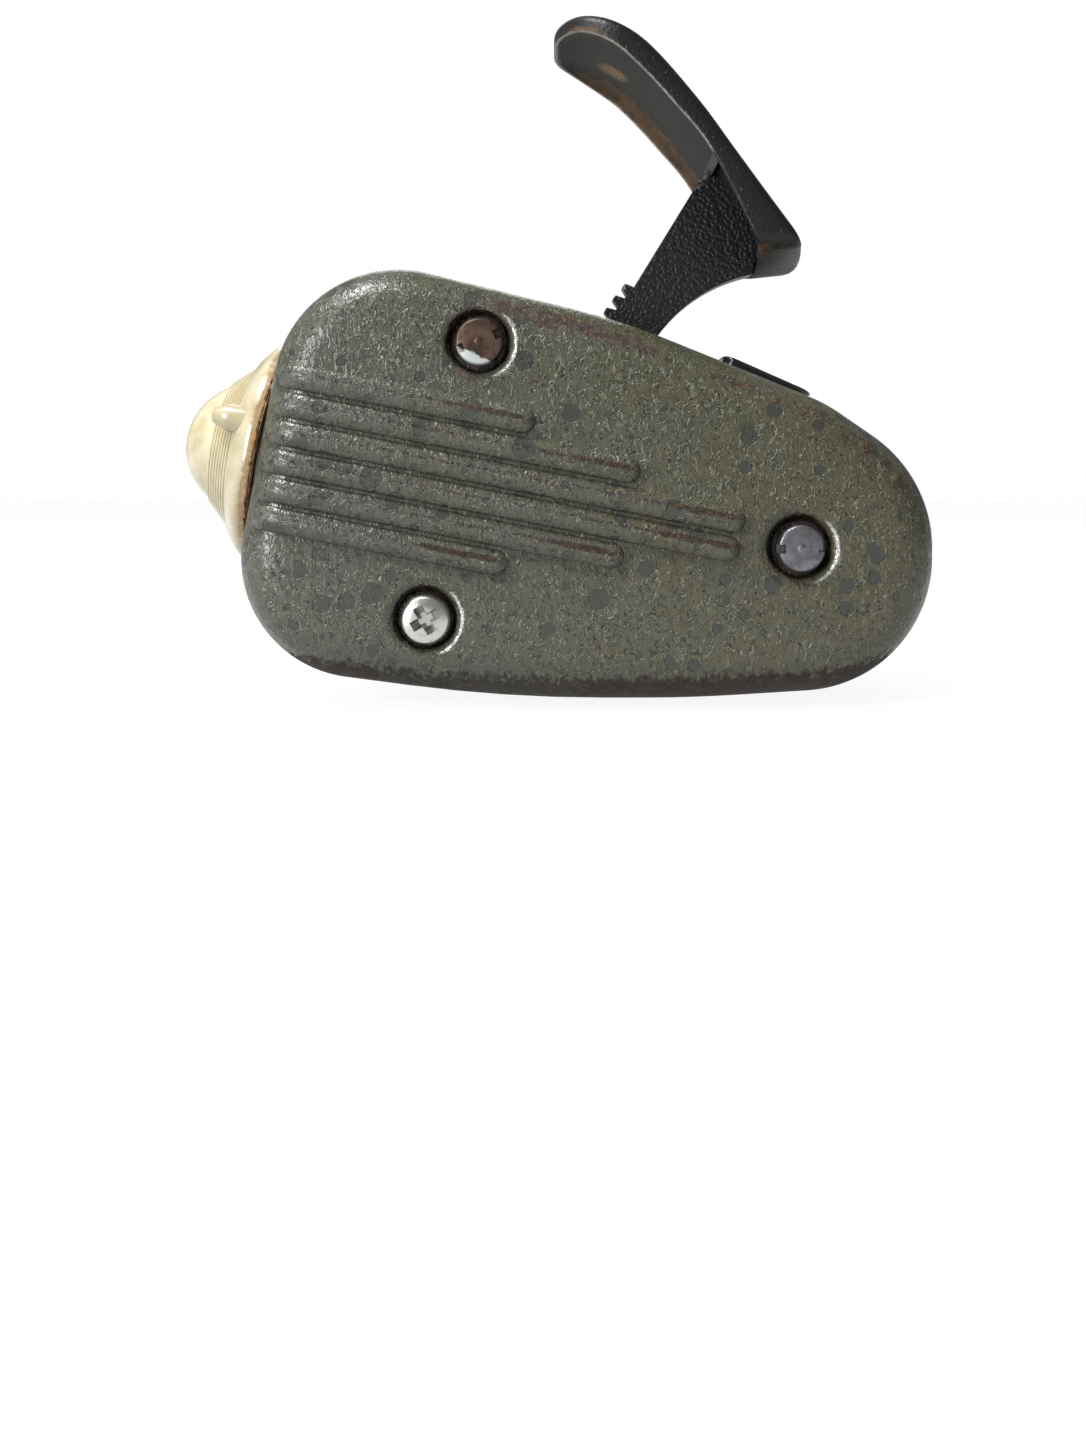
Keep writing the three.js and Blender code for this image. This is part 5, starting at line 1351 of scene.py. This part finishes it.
def slide_piece():
    """Bevelled thumb plate with rounded corners, a skirt under its near side, and its hooked tongue."""
    top_from = Vector((CORNERS[5][0] * LENGTH, CORNERS[5][1] * HEIGHT))
    top_to = Vector((CORNERS[6][0] * LENGTH, CORNERS[6][1] * HEIGHT))

    def top_line(x):
        return top_from.y + (top_to.y - top_from.y) * (x - top_from.x) / (top_to.x - top_from.x)

    way = (top_from - top_to).normalized()
    way = (way + Vector((way.y, -way.x)) * SLIDE_DIP).normalized()
    middle = PIVOT.x - SLIDE_FORWARD
    place = frame_of((middle, 0, top_line(middle)), (-way.y, 0, way.x), (way.x, 0, way.y))
    x, y = SLIDE_LENGTH / 2 - SLIDE_CORNER, SLIDE_WIDTH / 2 - SLIDE_CORNER

    def plan(inset):
        ring = []
        for cx, cy, start in ((x, y, 0), (-x, y, 90), (-x, -y, 180), (x, -y, 270)):
            for k in range(9):
                turned = polar(SLIDE_CORNER - inset, math.radians(start + 90 * k / 8))
                ring.append(Vector((cx, cy)) + turned)
        return ring

    def raised(ring, height):
        return [place @ Vector((p.x, p.y, height)) for p in ring]

    loops = [raised(plan(0.2), SLIDE_BOTTOM)]
    for k in range(6):
        angle = math.pi / 2 * k / 5
        height = SLIDE_TOP - SLIDE_BEVEL * (1 - math.sin(angle))
        loops.append(raised(plan(SLIDE_BEVEL * (1 - math.cos(angle))), height))
    plate = skin(loops, capped=True)
    reach, inner = SLIDE_LENGTH / 2 - SKIRT_INSET, SKIRT_WIDTH - y
    edge = [*plan(SKIRT_INSET)[18:], Vector((reach, inner)), Vector((-reach, inner))]
    skirt = skin([raised(edge, height) for height in SKIRT_HEIGHTS], capped=True)

    right = PIVOT.x - 3.5
    left = right - TONGUE_WIDTH
    foot = PIVOT.y - 5.1
    hook = PIVOT.x - 9.3
    flat = [
        (left, top_line(left) + 0.9),
        (left, foot + HOOK_THICK),
        (hook, foot + HOOK_THICK),
        (hook, foot),
        (right, foot),
        (right, top_line(right) + 0.9),
    ]
    tongue = skin([[Vector((px, side, pz)) for px, pz in flat] for side in TONGUE_SIDES], capped=True)
    return merged(plate, skirt, tongue)


slide = mesh_piece("lock_thumb_slide", *slide_piece(), smooth_degrees=40)
dress(slide, "slide", "black_gloss", gloss_black, "lock_slide")


# Inner works keep their own solids

FINISHES = {
    plain_steel: """lever_axle lever_return_spring near_frame_plate far_frame_plate open_stop_pin
        closed_stop_pin bridge_plate bridge_spacer_1 bridge_spacer_2 bridge_spacer_3 pinion_shaft
        ratchet_wheel pawl_1 pawl_2 idler_shaft rotor_shaft rotor_bracket core_spacer_1 core_spacer_2""",
    dull_zinc: "top_screw_post tail_screw_post lower_screw_post",
    yellow_brass: """bulb_cap lamp_socket contact_spring drive_wheel idler_wheel far_rotor_bush
        near_rotor_bush""",
    magnet_grey: "rotor_magnet",
    sheet_iron: "stator_core",
    copper: "stator_coil",
    silvered: "reflector",
    clear_glass: "bulb_glass",
    woven: "lamp_lead",
    crumbs: "lens_seal",
}
for finish, names in FINISHES.items():
    for node_name in names.split():
        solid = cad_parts[node_name]
        solid.data.materials.clear()
        solid.data.materials.append(finish)


# Stage: floor, lamps and camera


WHITE = (1, 1, 1, 1)


def stage_plane(name, size, place, material):
    half = size / 2
    corners = [place @ Vector((x * half, y * half, 0)) for x, y in SQUARE]
    plane = mesh_piece(name, corners, [(0, 1, 2, 3)])
    plane.data.materials.append(material)
    return plane


def floor_material():
    """Matt white card that the camera and reflections see as plain white, with the shadow kept."""
    material = bpy.data.materials.new("white_card")
    material.use_nodes = True
    tree = material.node_tree
    shader = tree.nodes["Principled BSDF"]
    feed(tree, shader, Base_Color="#8f8f8e", Roughness=0.9, Specular_IOR_Level=0)
    rays = add_node(tree, "LightPath").node.outputs
    seen = add_node(tree, "Math", rays["Is Camera Ray"], rays["Is Glossy Ray"], operation="MAXIMUM")
    seen = add_node(tree, "Math", seen, rays["Is Transmission Ray"], operation="MAXIMUM")
    card = shader.outputs["BSDF"]
    glow = add_node(tree, "Emission", Color=WHITE, Strength=0.9)
    shown = add_node(tree, "MixShader", seen, card, add_node(tree, "AddShader", card, glow))
    feed(tree, tree.nodes["Material Output"], Surface=shown)
    return material


card = floor_material()
stage_plane("floor_card", 6000, Matrix.Translation(Vector((0, 0, -0.1))), card)

world = bpy.context.scene.world or bpy.data.worlds.new("studio")
bpy.context.scene.world = world
world.use_nodes = True
sky = world.node_tree
ray_kinds = add_node(sky, "LightPath").node.outputs
white_for = (ray_kinds["Is Camera Ray"], ray_kinds["Is Transmission Ray"])
shown_white = add_node(sky, "Math", *white_for, operation="MAXIMUM")
strength = add_node(sky, "MapRange", shown_white, To_Min=0.28, To_Max=1)
feed(sky, sky.nodes["Background"], Color=WHITE, Strength=strength)


def lamp(name, place, target, width, height, watts):
    """Rectangular lamp turned to a target, all in metres."""
    light = bpy.data.lights.new(name, "AREA")
    light.shape = "RECTANGLE"
    light.size = width
    light.size_y = height
    light.energy = watts
    holder = bpy.data.objects.new(name, light)
    holder.location = place
    holder.rotation_euler = (Vector(target) - Vector(place)).to_track_quat("-Z", "Y").to_euler()
    bpy.context.scene.collection.objects.link(holder)


lamp("front_left_softbox", (-0.44, -0.5, 0.16), (0, 0, 0.04), 0.09, 0.36, 4.2)
lamp("upper_left_softbox", (-0.25, -0.16, 0.6), (0, 0, 0.04), 0.2, 0.2, 4.8)
lamp("back_fill", (-0.05, 0.7, 0.4), (0, 0, 0.04), 0.4, 0.4, 1.2)

camera = bpy.data.objects.new("camera", bpy.data.cameras.new("camera"))
camera.location = (0.00108, -0.219, 0.0325)
camera.rotation_euler = (math.radians(90), 0, 0)
camera.data.lens = 34.3
camera.data.sensor_width = 36
camera.data.shift_x = -0.0104
camera.data.shift_y = -0.1637
camera.data.clip_start = 0.01
bpy.context.scene.collection.objects.link(camera)
bpy.context.scene.camera = camera
bpy.context.scene.view_settings.view_transform = "Standard"
